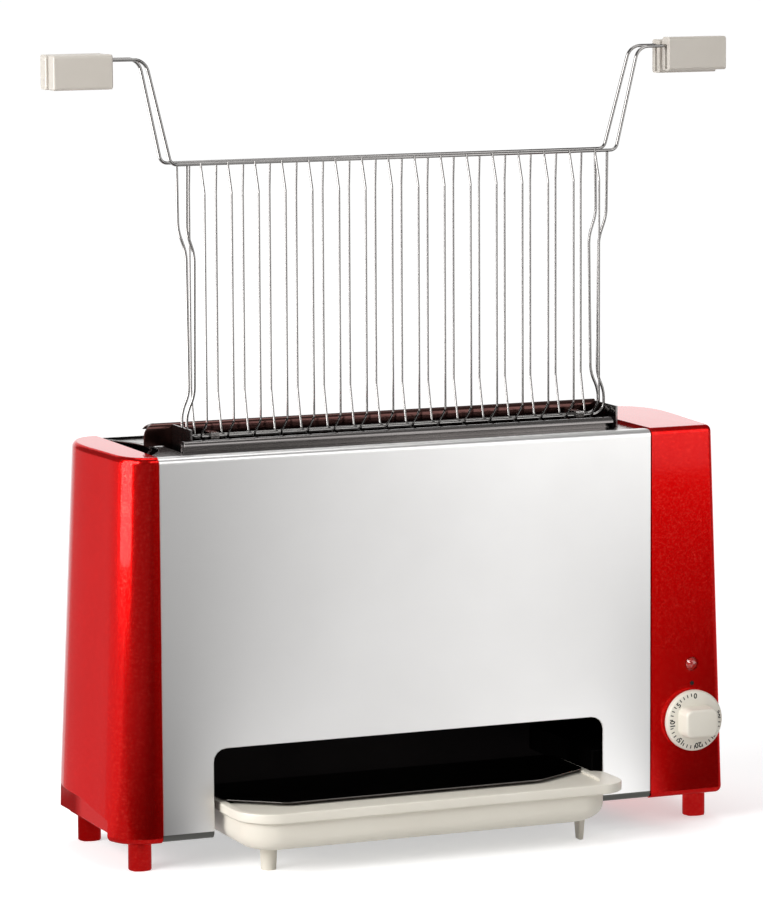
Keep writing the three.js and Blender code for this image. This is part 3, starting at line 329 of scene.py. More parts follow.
def makeRed():
    material, tree, shader = newMaterial("redPlastic")
    place = placeOf(tree)
    patches = useGroup(tree, "patches", place, Scale=9.0, Contrast=1.6)[0]
    flakes = rangeOf(tree, useGroup(tree, "flakes", place)[0], 0, 1, 0, redSet["fleckAmount"])
    colour = mixColour(tree, patches, redSet["deep"], redSet["clean"])
    flecked = mixColour(tree, flakes, colour, redSet["fleck"])
    # The recess low on the left end and the foot there lie in shade towards the rear
    axes = axesOf(tree, place)
    shade = redSet["shadeDepth"]
    for axis, span in redSet["shadeSpans"]:
        shade = mathNode(tree, "MULTIPLY", shade, rangeOf(tree, axes[axis], *span, 0, 1))
    facing = addNode(tree, "ShaderNodeLayerWeight").outputs["Facing"]
    coat = rangeOf(tree, facing, *redSet["glancing"], *redSet["coat"])
    feedAll(tree, shader, {
        "Base Color": mixColour(tree, shade, flecked, redSet["shade"]),
        "Roughness": rangeOf(tree, patches, 0, 1, *redSet["rough"]),
        "Metallic": redSet["metal"],
        "Specular IOR Level": redSet["shine"],
        "Specular Tint": redSet["edge"],
        "Coat Weight": mathNode(tree, "MULTIPLY", coat, mathNode(tree, "SUBTRACT", 1, shade)),
        "Coat Roughness": redSet["coatRough"],
    })
    return material


# The clear red lens, and the glass of the small lamp behind it
glassSets = {
    "redLens": {
        "deep": (0.62, 0.02, 0.02),
        "pale": (0.8, 0.06, 0.04),
        "rough": (0.05, 0.1),
        "clear": 0.55,
        "coat": 0.8,
        "patches": {"Scale": 60.0, "Contrast": 1.6},
    },
    "lampGlass": {
        "deep": (0.8, 0.72, 0.6),
        "pale": (0.9, 0.85, 0.76),
        "rough": (0.06, 0.14),
        "clear": 0.8,
        "coat": 0,
        "patches": {"Scale": 80.0, "Contrast": 1.4},
    },
}


def makeGlass(name):
    glass = glassSets[name]
    material, tree, shader = newMaterial(name)
    patches = useGroup(tree, "patches", placeOf(tree), **glass["patches"])[0]
    feedAll(tree, shader, {
        "Base Color": mixColour(tree, patches, glass["deep"], glass["pale"]),
        "Roughness": rangeOf(tree, patches, 0, 1, *glass["rough"]),
        "Transmission Weight": glass["clear"],
        "Coat Weight": glass["coat"],
    })
    return material


materials = {name: makeMetal(name) for name in metalSets}
materials.update({name: makePlastic(name) for name in plasticSets})
materials["redPlastic"] = makeRed()
materials.update({name: makeGlass(name) for name in glassSets})
slotMaterials = {
    "satin_steel": "satinSteel",
    "bright_steel": "brightSteel",
    "dark_steel": "ovenSteel",
    "heater_steel": "heaterSteel",
    "red_plastic": "redPlastic",
    "cream_plastic": "creamPlastic",
    "black_plastic": "blackPlastic",
    "white_ceramic": "whiteCeramic",
    "bell_brass": "bellBrass",
    "red_lens": "redLens",
    "lamp_glass": "lampGlass",
}
for part in frame["record"]["subparts"]:
    slots = nodes[part["node"]].data.materials
    slots.clear()
    slots.append(materials[slotMaterials[part["material_slot"]]])
# The slot's ends take the lip steel's painted shade too
for name in ("slot_end_left", "slot_end_right"):
    nodes[name].data.materials[0] = materials["lipShadeSteel"]
print("materials made:", len(materials))


# Piece helpers: sizes are in millimetres until mm turns them into metres
def addPiece(name, mesh, body, slot, materialName, *replaced):
    piece = newObject(name, mesh)
    mesh.materials.append(materials[materialName])
    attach(piece, body)
    if replaced:
        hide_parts(*replaced)
    return piece


# A smooth mesh whose edges stay sharp where they turn by more than so many degrees
def toMesh(bm, name, sharp=32):
    bmesh.ops.recalc_face_normals(bm, faces=bm.faces)
    for face in bm.faces:
        face.smooth = True
    for edge in bm.edges:
        edge.smooth = edge.calc_face_angle(0) < math.radians(sharp)
    mesh = bpy.data.meshes.new(name)
    bm.to_mesh(mesh)
    bm.free()
    return mesh


def roundEdges(piece, width, segments=2, angle=35):
    bevel = piece.modifiers.new("roundedEdges", "BEVEL")
    bevel.width = width * mm
    bevel.segments = segments
    bevel.limit_method = "ANGLE"
    bevel.angle_limit = math.radians(angle)
    bevel.harden_normals = True
    weighted = piece.modifiers.new("evenNormals", "WEIGHTED_NORMAL")
    weighted.keep_sharp = True


# A copy of a CAD part with its coplanar triangles joined, for rounding and smooth shading
def cleanCopy(nodeName):
    bm = bmesh.new()
    bm.from_mesh(nodes[nodeName].data)
    bmesh.ops.remove_doubles(bm, verts=bm.verts, dist=0.000005)
    bmesh.ops.dissolve_limit(bm, angle_limit=math.radians(0.4), verts=bm.verts, edges=bm.edges)
    return bm


# The final mesh of a curve or a text
def meshOf(name, curve):
    holder = newObject(name, curve)
    bpy.context.view_layer.update()
    mesh = bpy.data.meshes.new_from_object(holder.evaluated_get(bpy.context.evaluated_depsgraph_get()))
    bpy.data.objects.remove(holder)
    bpy.data.curves.remove(curve)
    return mesh


# Bezier points of a row of corners: each bend is an arc of the given radius
def cornerSpots(corners, bend):
    spots = []
    points = [Vector(corner) * mm for corner in corners]
    bends = bend if isinstance(bend, list) else [bend] * len(points)
    for index in range(1, len(points) - 1):
        back = points[index - 1] - points[index]
        ahead = points[index + 1] - points[index]
        turn = math.pi - back.angle(ahead)
        reach = min(bends[index] * mm * math.tan(turn / 2), back.length * 0.499, ahead.length * 0.499)
        handle = reach * (4 / 3) * math.tan(turn / 4) / math.tan(turn / 2)
        entry = points[index] + back.normalized() * reach
        leave = points[index] + ahead.normalized() * reach
        spots.append((entry, entry + back.normalized() * handle, entry - back.normalized() * handle))
        spots.append((leave, leave - ahead.normalized() * handle, leave + ahead.normalized() * handle))
    first, last = points[0], points[-1]
    firstAhead = (points[1] - first).normalized() * mm
    lastBack = (points[-2] - last).normalized() * mm
    start = (first, first - firstAhead, first + firstAhead)
    end = (last, last + lastBack, last - lastBack)
    return [start, *spots, end]


# Bent wires: each route is a row of corners, rounded to the bend or to a list of bends
def wireMesh(name, routes, diameter, bend, sides, steps):
    curve = bpy.data.curves.new(name, "CURVE")
    curve.dimensions = "3D"
    curve.bevel_depth = diameter / 2 * mm
    curve.bevel_resolution = sides - 2
    curve.resolution_u = steps
    curve.use_fill_caps = True
    for corners in routes:
        spots = cornerSpots(corners, bend)
        spline = curve.splines.new("BEZIER")
        spline.bezier_points.add(len(spots) - 1)
        for point, (place, left, right) in zip(spline.bezier_points, spots):
            point.co = place
            point.handle_left = left
            point.handle_right = right
    bm = bmesh.new()
    bm.from_mesh(meshOf(name, curve))
    bmesh.ops.remove_doubles(bm, verts=bm.verts, dist=0.000002)
    return toMesh(bm, name, sharp=50)


def boxOf(bm, low, high):
    made = bmesh.ops.create_cube(bm, size=1)["verts"]
    size = [(b - a) * mm for a, b in zip(low, high)]
    middle = [(b + a) / 2 * mm for a, b in zip(low, high)]
    bmesh.ops.scale(bm, vec=size, verts=made)
    bmesh.ops.translate(bm, vec=middle, verts=made)
    return made


def coneOf(bm, lowRadius, highRadius, height, segments):
    made = bmesh.ops.create_cone(
        bm,
        cap_ends=True,
        segments=segments,
        radius1=lowRadius * mm,
        radius2=highRadius * mm,
        depth=height * mm,
    )
    return made["verts"]


# Draws vertices in towards a place, to a share of their distance along each axis
def drawIn(verts, place, shares):
    for vert in verts:
        for axis in range(3):
            middle = place[axis] * mm
            vert.co[axis] = middle + (vert.co[axis] - middle) * shares[axis]


def edgesOf(verts):
    return dict.fromkeys(edge for vert in verts for edge in vert.link_edges)


def runsAlong(edge, axis):
    start, end = (vert.co for vert in edge.verts)
    return abs((start - end).normalized()[axis]) > 0.9


def bevelEdges(bm, edges, amount, segments):
    bmesh.ops.bevel(
        bm,
        geom=list(edges),
        offset=amount * mm,
        segments=segments,
        profile=0.5,
        affect="EDGES",
        material=-1,
    )


# New edges right round a mesh at a height in metres
def cutAcross(bm, height):
    everything = bm.verts[:] + bm.edges[:] + bm.faces[:]
    bmesh.ops.bisect_plane(bm, geom=everything, plane_co=(0, 0, height), plane_no=(0, 0, 1))


# Steel shell: the folded front and rear sheets and the top plate, with eased edges
shellSet = {
    "edge": 0.35,
    "foldHeight": 4.6,
    "insideFacing": -0.6,
    "insideLow": 30,
}


def makeSheet(name, bm, materialName):
    piece = addPiece(name + "_sheet", toMesh(bm, name), "housing", "satin_steel", materialName, name)
    roundEdges(piece, shellSet["edge"])
    return piece.data


def makeShell():
    bm = cleanCopy("front_panel")
    fold = min(vert.co.z for vert in bm.verts) + shellSet["foldHeight"] * mm
    cutAcross(bm, fold)
    front = makeSheet("front_panel", bm, "satinSteel")
    # The front sheet's lower fold takes a dark copy of the steel: painted shade
    front.materials.append(materials["foldShadeSteel"])
    for face in front.polygons:
        face.material_index = int(face.center.z < fold)
    makeSheet("top_plate", cleanCopy("top_plate"), "deckSteel")
    rear = makeSheet("rear_panel", cleanCopy("rear_panel"), "satinSteel")
    # The rear sheet is dark on its inner side
    rear.materials.append(materials["ovenSteel"])
    for face in rear.polygons:
        inside = face.normal.y < shellSet["insideFacing"] and face.center.z > shellSet["insideLow"] * mm
        face.material_index = int(inside)


makeShell()
print("steel shell made")


# End caps with rounded edges, round sleeves on their feet, and the small index dot over the knob
capSet = {
    "edge": 0.5,
    "footRadius": 7.2,
    "footTop": 21,
    "footEdge": 0.8,
    "footSegments": 32,
    "dotRadius": 1.4,
    "dotPlace": (179.5, -41.1, 89.9),
    "dotThick": 0.15,
    "dotSegments": 24,
}


def makeFeet(name, soles):
    middle = sum(sole.y for sole in soles) / len(soles)
    radius, top, edge = (capSet[key] for key in ("footRadius", "footTop", "footEdge"))
    bm = bmesh.new()
    for side in (-1, 1):
        foot = [sole for sole in soles if (sole.y - middle) * side > 0]
        acrossX, acrossY = ([sole[axis] for sole in foot] for axis in (0, 1))
        x, y = ((min(across) + max(across)) / 2 for across in (acrossX, acrossY))
        made = coneOf(bm, radius, radius, top, capSet["footSegments"])
        bmesh.ops.translate(bm, verts=made, vec=(x, y, top * mm / 2))
        low = [item for item in edgesOf(made) if all(vert.co.z < edge * mm for vert in item.verts)]
        bevelEdges(bm, low, edge, segments=3)
    addPiece(name, toMesh(bm, name, sharp=50), "housing", "red_plastic", "redPlastic")


def makeCaps():
    for name in ("left_end_cap", "right_end_cap"):
        bm = cleanCopy(name)
        soles = [vert.co.copy() for vert in bm.verts if vert.co.z < 0.1 * mm]
        mesh = toMesh(bm, name, sharp=28)
        piece = addPiece(name + "_shell", mesh, "housing", "red_plastic", "redPlastic", name)
        roundEdges(piece, capSet["edge"], angle=50)
        makeFeet(name.replace("end_cap", "feet"), soles)
    bm = bmesh.new()
    dot = coneOf(bm, capSet["dotRadius"], capSet["dotRadius"], capSet["dotThick"], capSet["dotSegments"])
    bmesh.ops.rotate(bm, verts=dot, matrix=Matrix.Rotation(math.pi / 2, 3, "X"))
    bmesh.ops.translate(bm, verts=dot, vec=Vector(capSet["dotPlace"]) * mm)
    addPiece("index_dot", toMesh(bm, "index_dot"), "housing", "black_plastic", "scaleInk")


makeCaps()
print("end caps made")


# Rolled lips of the slot, the closed end of the front one, and the bead round the side vent
lipSet = {
    "edge": 0.25,
    "rearEnd": -161,
    "rearTop": 264.7,
    "rearRadius": 8,
    "rearSteps": 8,
    "endPlate": ((136.2, -15.6, 250.9), (138.0, -8.8, 258.6)),
    "endPlateEdge": 0.6,
    "ventBead": 1.3,
    "ventBend": 105,
    "ventCorners": [(-173.6, -16.5, 250.9), (-153.6, 27.5, 250.9), (-173.6, 71.5, 250.9)],
}


def makeLip(name, bm, materialName):
    mesh = toMesh(bm, name, sharp=40)
    piece = addPiece(name + "_roll", mesh, "housing", "bright_steel", materialName, name)
    roundEdges(piece, lipSet["edge"], angle=60)


def makeLips():
    # The front lip takes the darker lip steel: painted shade
    makeLip("front_lip", cleanCopy("front_lip"), "lipShadeSteel")
    bm = cleanCopy("rear_lip")
    radius, steps = lipSet["rearRadius"], lipSet["rearSteps"]
    arcLow = lipSet["rearTop"] - radius
    # The rear lip is cut into levels, so that its left end can be rounded off towards the top
    for step in range(1, steps):
        cutAcross(bm, (arcLow + radius * step / steps) * mm)
    for vert in bm.verts:
        past = vert.co.z / mm - arcLow
        if vert.co.x < (lipSet["rearEnd"] + 1) * mm and past > 0:
            vert.co.x += (radius - math.sqrt(max(radius**2 - past**2, 0))) * mm
    # The rear lip takes the dark maroon steel, a painted reflection of the red caps
    makeLip("rear_lip", bm, "rearLipReflectionSteel")
    bm = bmesh.new()
    bevelEdges(bm, edgesOf(boxOf(bm, *lipSet["endPlate"])), lipSet["endPlateEdge"], segments=2)
    addPiece("front_lip_end", toMesh(bm, "front_lip_end"), "housing", "dark_steel", "ovenSteel")
    wire, bend = lipSet["ventBead"], lipSet["ventBend"]
    bead = wireMesh("vent_bead", [lipSet["ventCorners"]], wire, bend, sides=5, steps=16)
    addPiece("vent_bead", bead, "housing", "bright_steel", "brightSteel")


makeLips()
print("lips made")


# Drip tray: a rimmed bowl with an ear at its right end, on a post and a fin, and the plate on its rim
traySet = {
    "low": (-137.5, -86.5),
    "high": (108.5, 13.5),
    "rimTop": 40,
    "rimUnder": 34,
    "rimOut": 3,
    "rimEdge": 0.6,
    "edgeShare": 0.3,
    "bottom": 16.5,
    "wall": 2.4,
    "wallDraft": 0.6,
    "frontCorner": 25,
    "rearCorner": 14,
    "cornerSteps": 10,
    "earOut": 6.5,
    "earCorner": 17,
    "earRear": (-48, -43),
    "underReach": (7, 14),
    "underRise": 9,
    "underSteps": 8,
    "ledge": 38.4,
    "ledgeRear": -36,
}
standSet = {
    "post": (-112.5, -54.5),
    "postRadii": (4.7, 5.5),
    "postHeight": 19,
    "postSegments": 32,
    "fin": (95, -54.5),
    "finHalf": (2.2, 5),
    "finHeight": 18.7,
    "finShares": (0.7, 0.62, 1),
    "finEdge": 0.9,
}
plateSet = {
    "low": 40.3,
    "thick": 0.8,
    "corner": 4,
    "edge": 0.25,
    "outline": [
        (-102, -60), (66, -60), (105.5, -38), (105.5, 4.5),
        (99.5, 10.5), (-128.5, 10.5), (-134.5, 4.5), (-134.5, -35)
    ],
}


# One closed outline of the tray at a height, drawn in from its outer sides
def trayRing(inset, height, ear=0, frontLimit=-math.inf, rightMore=0):
    # Nothing comes further forward than frontLimit, and rightMore draws the right end in further
    (left, front), (right, rear) = traySet["low"], traySet["high"]
    left, front, right, rear = left + inset, front + inset, right - inset - rightMore, rear - inset
    frontCorner = traySet["frontCorner"] - inset
    rearCorner = max(traySet["rearCorner"] - inset, 1)
    sideCorner = traySet["earCorner"] if ear else frontCorner
    corners = [
        (left + frontCorner, front + frontCorner, frontCorner, 180),
        (right + ear - sideCorner, front + sideCorner, sideCorner, 270),
        (right - rearCorner, rear - rearCorner, rearCorner, 0),
        (left + rearCorner, rear - rearCorner, rearCorner, 90),
    ]
    points = []
    for index, (x, y, corner, turn) in enumerate(corners):
        for step in range(traySet["cornerSteps"] + 1):
            angle = math.radians(turn + 90 * step / traySet["cornerSteps"])
            points.append((x + corner * math.cos(angle), y + corner * math.sin(angle)))
        if index == 1:
            points += [(right + ear, traySet["earRear"][0]), (right, traySet["earRear"][1])]
    return [(x * mm, max(y, frontLimit) * mm, height * mm) for x, y in points]


# The tray's outlines, from the middle of its underside round the rim and down inside
def trayRings():
    bottom, top, under = traySet["bottom"], traySet["rimTop"], traySet["rimUnder"]
    out, edge, ear = traySet["rimOut"], traySet["rimEdge"], traySet["earOut"]
    inner, draft = out + traySet["wall"], traySet["wallDraft"]
    reach, rightReach = traySet["underReach"]
    soft = edge * traySet["edgeShare"]
    ledge, ledgeRear = traySet["ledge"], traySet["ledgeRear"]
    rings = []
    for step in range(traySet["underSteps"] + 1):
        angle = math.radians(90 * step / traySet["underSteps"])
        fall = 1 - math.sin(angle)
        height = bottom + traySet["underRise"] * (1 - math.cos(angle))
        rings.append(trayRing(out + reach * fall, height, rightMore=(rightReach - reach) * fall))
    rings.append(trayRing(out, under))
    rings += [trayRing(edge, under, ear), trayRing(0, under + edge, ear)]
    rings += [trayRing(0, top - edge, ear), trayRing(soft, top - soft, ear), trayRing(edge, top, ear)]
    rings += [trayRing(inner - edge, top), trayRing(inner, top - edge), trayRing(inner, ledge)]
    rings.append(trayRing(inner + draft, ledge, 0, ledgeRear))
    rings.append(trayRing(inner + 2 * draft, bottom + traySet["wall"], 0, ledgeRear))
    return rings


def makeStand(bm):
    x, y = standSet["post"]
    height = standSet["postHeight"]
    post = coneOf(bm, *standSet["postRadii"], height, standSet["postSegments"])
    bmesh.ops.translate(bm, vec=(x * mm, y * mm, height / 2 * mm), verts=post)
    x, y = standSet["fin"]
    halfX, halfY = standSet["finHalf"]
    fin = boxOf(bm, (x - halfX, y - halfY, 0), (x + halfX, y + halfY, standSet["finHeight"]))
    drawIn([vert for vert in fin if vert.co.z < mm], (x, y, 0), standSet["finShares"])
    bevelEdges(bm, edgesOf(fin), standSet["finEdge"], segments=3)


def makeTray():
    bm = bmesh.new()
    loops = [[bm.verts.new(point) for point in ring] for ring in trayRings()]
    for lower, upper in zip(loops, loops[1:]):
        for index in range(len(lower)):
            after = (index + 1) % len(lower)
            bm.faces.new([lower[index], lower[after], upper[after], upper[index]])
    bm.faces.new(loops[0][::-1])
    bm.faces.new(loops[-1])
    makeStand(bm)
    bmesh.ops.dissolve_degenerate(bm, edges=bm.edges, dist=0.000001)
    mesh = toMesh(bm, "drip_tray", sharp=40)
    addPiece("drip_tray_body", mesh, "tray", "cream_plastic", "creamPlastic", "drip_tray")


def makeDripPlate():
    bm = bmesh.new()
    height = plateSet["low"] * mm
    face = bm.faces.new([bm.verts.new((x * mm, y * mm, height)) for x, y in plateSet["outline"]])
    upper = bmesh.ops.extrude_face_region(bm, geom=[face])["geom"]
    raised = [item for item in upper if isinstance(item, bmesh.types.BMVert)]
    bmesh.ops.translate(bm, vec=(0, 0, plateSet["thick"] * mm), verts=raised)
    upright = [edge for edge in bm.edges if runsAlong(edge, 2)]
    bevelEdges(bm, upright, plateSet["corner"], segments=6)
    mesh = toMesh(bm, "drip_plate", sharp=40)
    piece = addPiece("drip_plate_sheet", mesh, "tray", "dark_steel", "plateSteel", "drip_plate")
    roundEdges(piece, plateSet["edge"], angle=60)


makeTray()
makeDripPlate()
print("drip tray made")


# The guides' rails stand beyond the tray's ends
guideSet = {
    "railReach": 3,
    "railShifts": {-1: 5, 1: 6.5},
}


def makeGuides():
    for name, side in (("tray_guide_left", -1), ("tray_guide_right", 1)):
        bm = cleanCopy(name)
        rail = min(vert.co.x * side for vert in bm.verts)
        for vert in bm.verts:
            if vert.co.x * side < rail + guideSet["railReach"] * mm:
                vert.co.x += side * guideSet["railShifts"][side] * mm
        addPiece(name + "_rail", toMesh(bm, name), "housing", "dark_steel", "ovenSteel", name)


makeGuides()
print("tray guides made")


# Timer knob: a thin disc with a bar grip, and its printed scale, counted anticlockwise from the top
knobSet = {
    "centre": (179.2, 66.7),
    "back": -41.7,
    "thick": 4.8,
    "radius": 19.3,
    # Each point of the rim is a step in from the radius and a step forward from the back
    "rim": [(0.8, 0), (0, 0.9), (0, 3.6), (0.5, 4.4), (1.4, 4.8)],
    "turnSteps": 96,
    "grip": (24, 19.5, 11),
    "gripSink": 1,
    "gripShares": (0.93, 1, 0.93),
    "gripCorner": 5,
    "gripEdge": 1.8,
}
scaleSet = {
    "minuteTurn": 9.4,
    "minutes": 30,
    "numbered": 5,
    "tick": (0.62, 2.1, 17.8),
    "tickDepth": (-0.03, 0.06),
    "numberSize": 4.6,
    "numberBold": 0.12,
    "numberDepth": 0.04,
    "numberRadius": 15.7,
}


def makeKnob():
    x, z = knobSet["centre"]
    back, thick, radius = (knobSet[key] for key in ("back", "thick", "radius"))
    bm = bmesh.new()
    profile = [(0, 0), *((radius - inset, depth) for inset, depth in knobSet["rim"]), (0, thick)]
    ring = [bm.verts.new((out * mm, -depth * mm, 0)) for out, depth in profile]
    edges = [bm.edges.new(pair) for pair in zip(ring, ring[1:])]
    steps = knobSet["turnSteps"]
    bmesh.ops.spin(
        bm, geom=ring + edges, cent=(0, 0, 0), axis=(0, 1, 0), angle=math.tau, steps=steps, use_merge=True
    )
    bmesh.ops.remove_doubles(bm, verts=bm.verts, dist=0.000002)
    bmesh.ops.translate(bm, vec=(x * mm, back * mm, z * mm), verts=bm.verts)
    width, height, proud = knobSet["grip"]
    face = back - thick
    front = face - proud
    low = (x - width / 2, front, z - height / 2)
    high = (x + width / 2, face + knobSet["gripSink"], z + height / 2)
    grip = boxOf(bm, low, high)
    drawIn([vert for vert in grip if vert.co.y < face * mm], (x, 0, z), knobSet["gripShares"])
    along = [edge for edge in edgesOf(grip) if runsAlong(edge, 1)]
    bevelEdges(bm, along, knobSet["gripCorner"], segments=8)
    nearFront = (front + 0.05) * mm
    outline = [edge for edge in bm.edges if all(vert.co.y < nearFront for vert in edge.verts)]
    bevelEdges(bm, outline, knobSet["gripEdge"], segments=5)
    mesh = toMesh(bm, "timer_knob", sharp=40)
    addPiece("timer_knob_body", mesh, "timer_dial", "cream_plastic", "creamPlastic", "timer_knob")


# Where a mark that stands above the origin goes on the disc's face, for a minute
def minutePlace(minute):
    x, z = knobSet["centre"]
    face = knobSet["back"] - knobSet["thick"]
    turn = Matrix.Rotation(-math.radians(scaleSet["minuteTurn"] * minute), 4, "Y")
    return Matrix.Translation((x * mm, face * mm, z * mm)) @ turn


def makeScale():
    bm = bmesh.new()
    wide, long, outer = scaleSet["tick"]
    front, back = scaleSet["tickDepth"]
    minutes, numbered = scaleSet["minutes"], scaleSet["numbered"]
    for minute in range(minutes + 1):
        if minute % numbered:
            mark = boxOf(bm, (-wide / 2, front, outer - long), (wide / 2, back, outer))
            bmesh.ops.transform(bm, verts=mark, matrix=minutePlace(minute))
    outward = Matrix.Translation((0, 0, scaleSet["numberRadius"] * mm))
    upright = Matrix.Rotation(math.pi / 2, 4, "X")
    for minute in range(0, minutes + 1, numbered):
        text = bpy.data.curves.new("number", "FONT")
        text.body = str(minute)
        text.size = scaleSet["numberSize"] * mm
        text.align_x = "CENTER"
        text.align_y = "CENTER"
        text.extrude = scaleSet["numberDepth"] * mm
        text.offset = scaleSet["numberBold"] * mm
        number = meshOf("number", text)
        number.transform(minutePlace(minute) @ outward @ upright)
        bm.from_mesh(number)
    addPiece("timer_scale", toMesh(bm, "timer_scale"), "timer_dial", "black_plastic", "scaleInk")


makeKnob()
makeScale()
print("knob made")


# Basket halves, front -1 and rear 1, leaning out from their fold, with gaps from their middle plane
basketSet = {
    "middleY": 9.75,
    "rimHeight": 424,
    "foldHeight": 257.5,
    "rimGap": 8.75,
    "foldGap": 4,
    "rimEnds": (-150, 146),
    "rimWire": 2.1,
    "armTops": ((-164.5, 487.5), (163, 488)),
    "armGap": {-1: 5.5, 1: 6.5},
    "armEnd": 212.2,
    "armBends": [0, 9, 5, 5, 9, 0],
    "sideHalf": 140,
    "sideWire": 1.8,
    "sideBend": 30,
    "sideTopDrop": 1,
    "neck": 5,
    "neckHeights": (383, 369),
    "flareHeights": (283, 272.5, 261.5),
}
uprightSet = {
    "count": 16,
    "pitch": 17.5,
    "wire": 1.4,
    "bend": 2.6,
    "weld": 0.3,
    "straight": 2.6,
    "bulge": {-1: 7, 1: 2.5},
    "bulgeDrop": 18,
    "bulgeRise": {-1: 10, 1: 25},
    "hookGap": 0.02,
    "hookOuter": 1.2,
    "hookInner": 0.8,
}
gripSet = {
    "edge": 1.1,
    "shifts": {
        "front_left_grip": (0, 0, 0),
        "rear_left_grip": (-1, 1.2, 0),
        "front_right_grip": (-2, 0, 2.2),
        "rear_right_grip": (-3, 1.2, 0.3),
    },
    "stretches": {"left": 1, "right": 1.06},
}


# Y of a half's plane at a height
def leanY(half, z):
    fold, rim = basketSet["foldHeight"], basketSet["rimHeight"]
    foldGap, rimGap = basketSet["foldGap"], basketSet["rimGap"]
    return basketSet["middleY"] + half * (foldGap + (rimGap - foldGap) * (z - fold) / (rim - fold))


def makeFrame(half, word):
    rim = basketSet["rimHeight"]
    rimY = leanY(half, rim)
    armY = basketSet["middleY"] + half * basketSet["armGap"][half]
    armEnd = basketSet["armEnd"]
    (leftTop, leftHeight), (rightTop, rightHeight) = basketSet["armTops"]
    route = [(-armEnd, armY, leftHeight), (leftTop, armY, leftHeight)]
    route += [(x, rimY, rim) for x in basketSet["rimEnds"]]
    route += [(rightTop, armY, rightHeight), (armEnd, armY, rightHeight)]
    name = word + "_basket_frame"
    mesh = wireMesh(name, [route], basketSet["rimWire"], basketSet["armBends"], sides=8, steps=8)
    addPiece(name + "_wire", mesh, "basket_" + word, "bright_steel", "wireShadeSteel", name)


# The loop down one side, along the fold and up the other side, with a neck on each side
def sideRoute(half):
    outer = basketSet["sideHalf"]
    inner = outer - basketSet["neck"]
    neckTop, neckLow = basketSet["neckHeights"]
    flareTop, flareMiddle, flareLow = basketSet["flareHeights"]
    side = [(outer, basketSet["rimHeight"] - basketSet["sideTopDrop"]), (outer, neckTop), (inner, neckLow)]
    side += [(inner, flareTop), (outer, flareMiddle), (outer, flareLow), (inner, basketSet["foldHeight"])]
    side += [(-x, z) for x, z in reversed(side)]
    return [(x, leanY(half, z), z) for x, z in side]


# One upright wire, from its weld on the rim's outer side, bulging out, to its hook round the fold
def uprightRoute(half, x):
    rim, fold, wire = basketSet["rimHeight"], basketSet["foldHeight"], uprightSet["wire"]
    rimReach = (basketSet["rimWire"] + wire) / 2 - uprightSet["weld"]
    hookReach = (basketSet["sideWire"] + wire) / 2 + uprightSet["hookGap"]
    rimY = leanY(half, rim) + half * rimReach
    bulgeY = basketSet["middleY"] + half * (basketSet["rimGap"] + uprightSet["bulge"][half])
    outerY = leanY(half, fold) + half * hookReach
    innerY = leanY(half, fold) - half * hookReach
    return [
        (x, rimY, rim + basketSet["rimWire"] / 3),
        (x, rimY, rim - uprightSet["straight"]),
        (x, bulgeY, rim - uprightSet["bulgeDrop"]),
        (x, bulgeY, fold + uprightSet["bulgeRise"][half]),
        (x, outerY, fold + uprightSet["hookOuter"]),
        (x, outerY, fold - hookReach),
        (x, innerY, fold - hookReach),
        (x, innerY, fold + uprightSet["hookInner"]),
    ]


def makeGrid(half, word):
    count, pitch = uprightSet["count"], uprightSet["pitch"]
    uprights = [uprightRoute(half, pitch * (index - (count - 1) / 2)) for index in range(count)]
    wire, bend = basketSet["sideWire"], basketSet["sideBend"]
    bm = bmesh.new()
    bm.from_mesh(wireMesh("side", [sideRoute(half)], wire, bend, sides=7, steps=8))
    bm.from_mesh(wireMesh("grid", uprights, uprightSet["wire"], uprightSet["bend"], sides=5, steps=3))
    name = word + "_basket_grid"
    mesh = toMesh(bm, name, sharp=50)
    addPiece(name + "_wires", mesh, "basket_" + word, "bright_steel", "wireShadeSteel", name)


def makeGrips(word):
    for side, stretch in gripSet["stretches"].items():
        name = word + "_" + side + "_grip"
        bm = cleanCopy(name)
        end = max(vert.co.x for vert in bm.verts)
        for vert in bm.verts:
            vert.co.x = end + (vert.co.x - end) * stretch
        bmesh.ops.translate(bm, verts=bm.verts, vec=Vector(gripSet["shifts"][name]) * mm)
        mesh = toMesh(bm, name, sharp=40)
        grip = addPiece(name + "_slab", mesh, "basket_" + word, "cream_plastic", "gripPlastic", name)
        roundEdges(grip, gripSet["edge"], segments=4, angle=50)


for half, word in ((-1, "front"), (1, "rear")):
    makeFrame(half, word)
    makeGrid(half, word)
    makeGrips(word)
print("basket made")


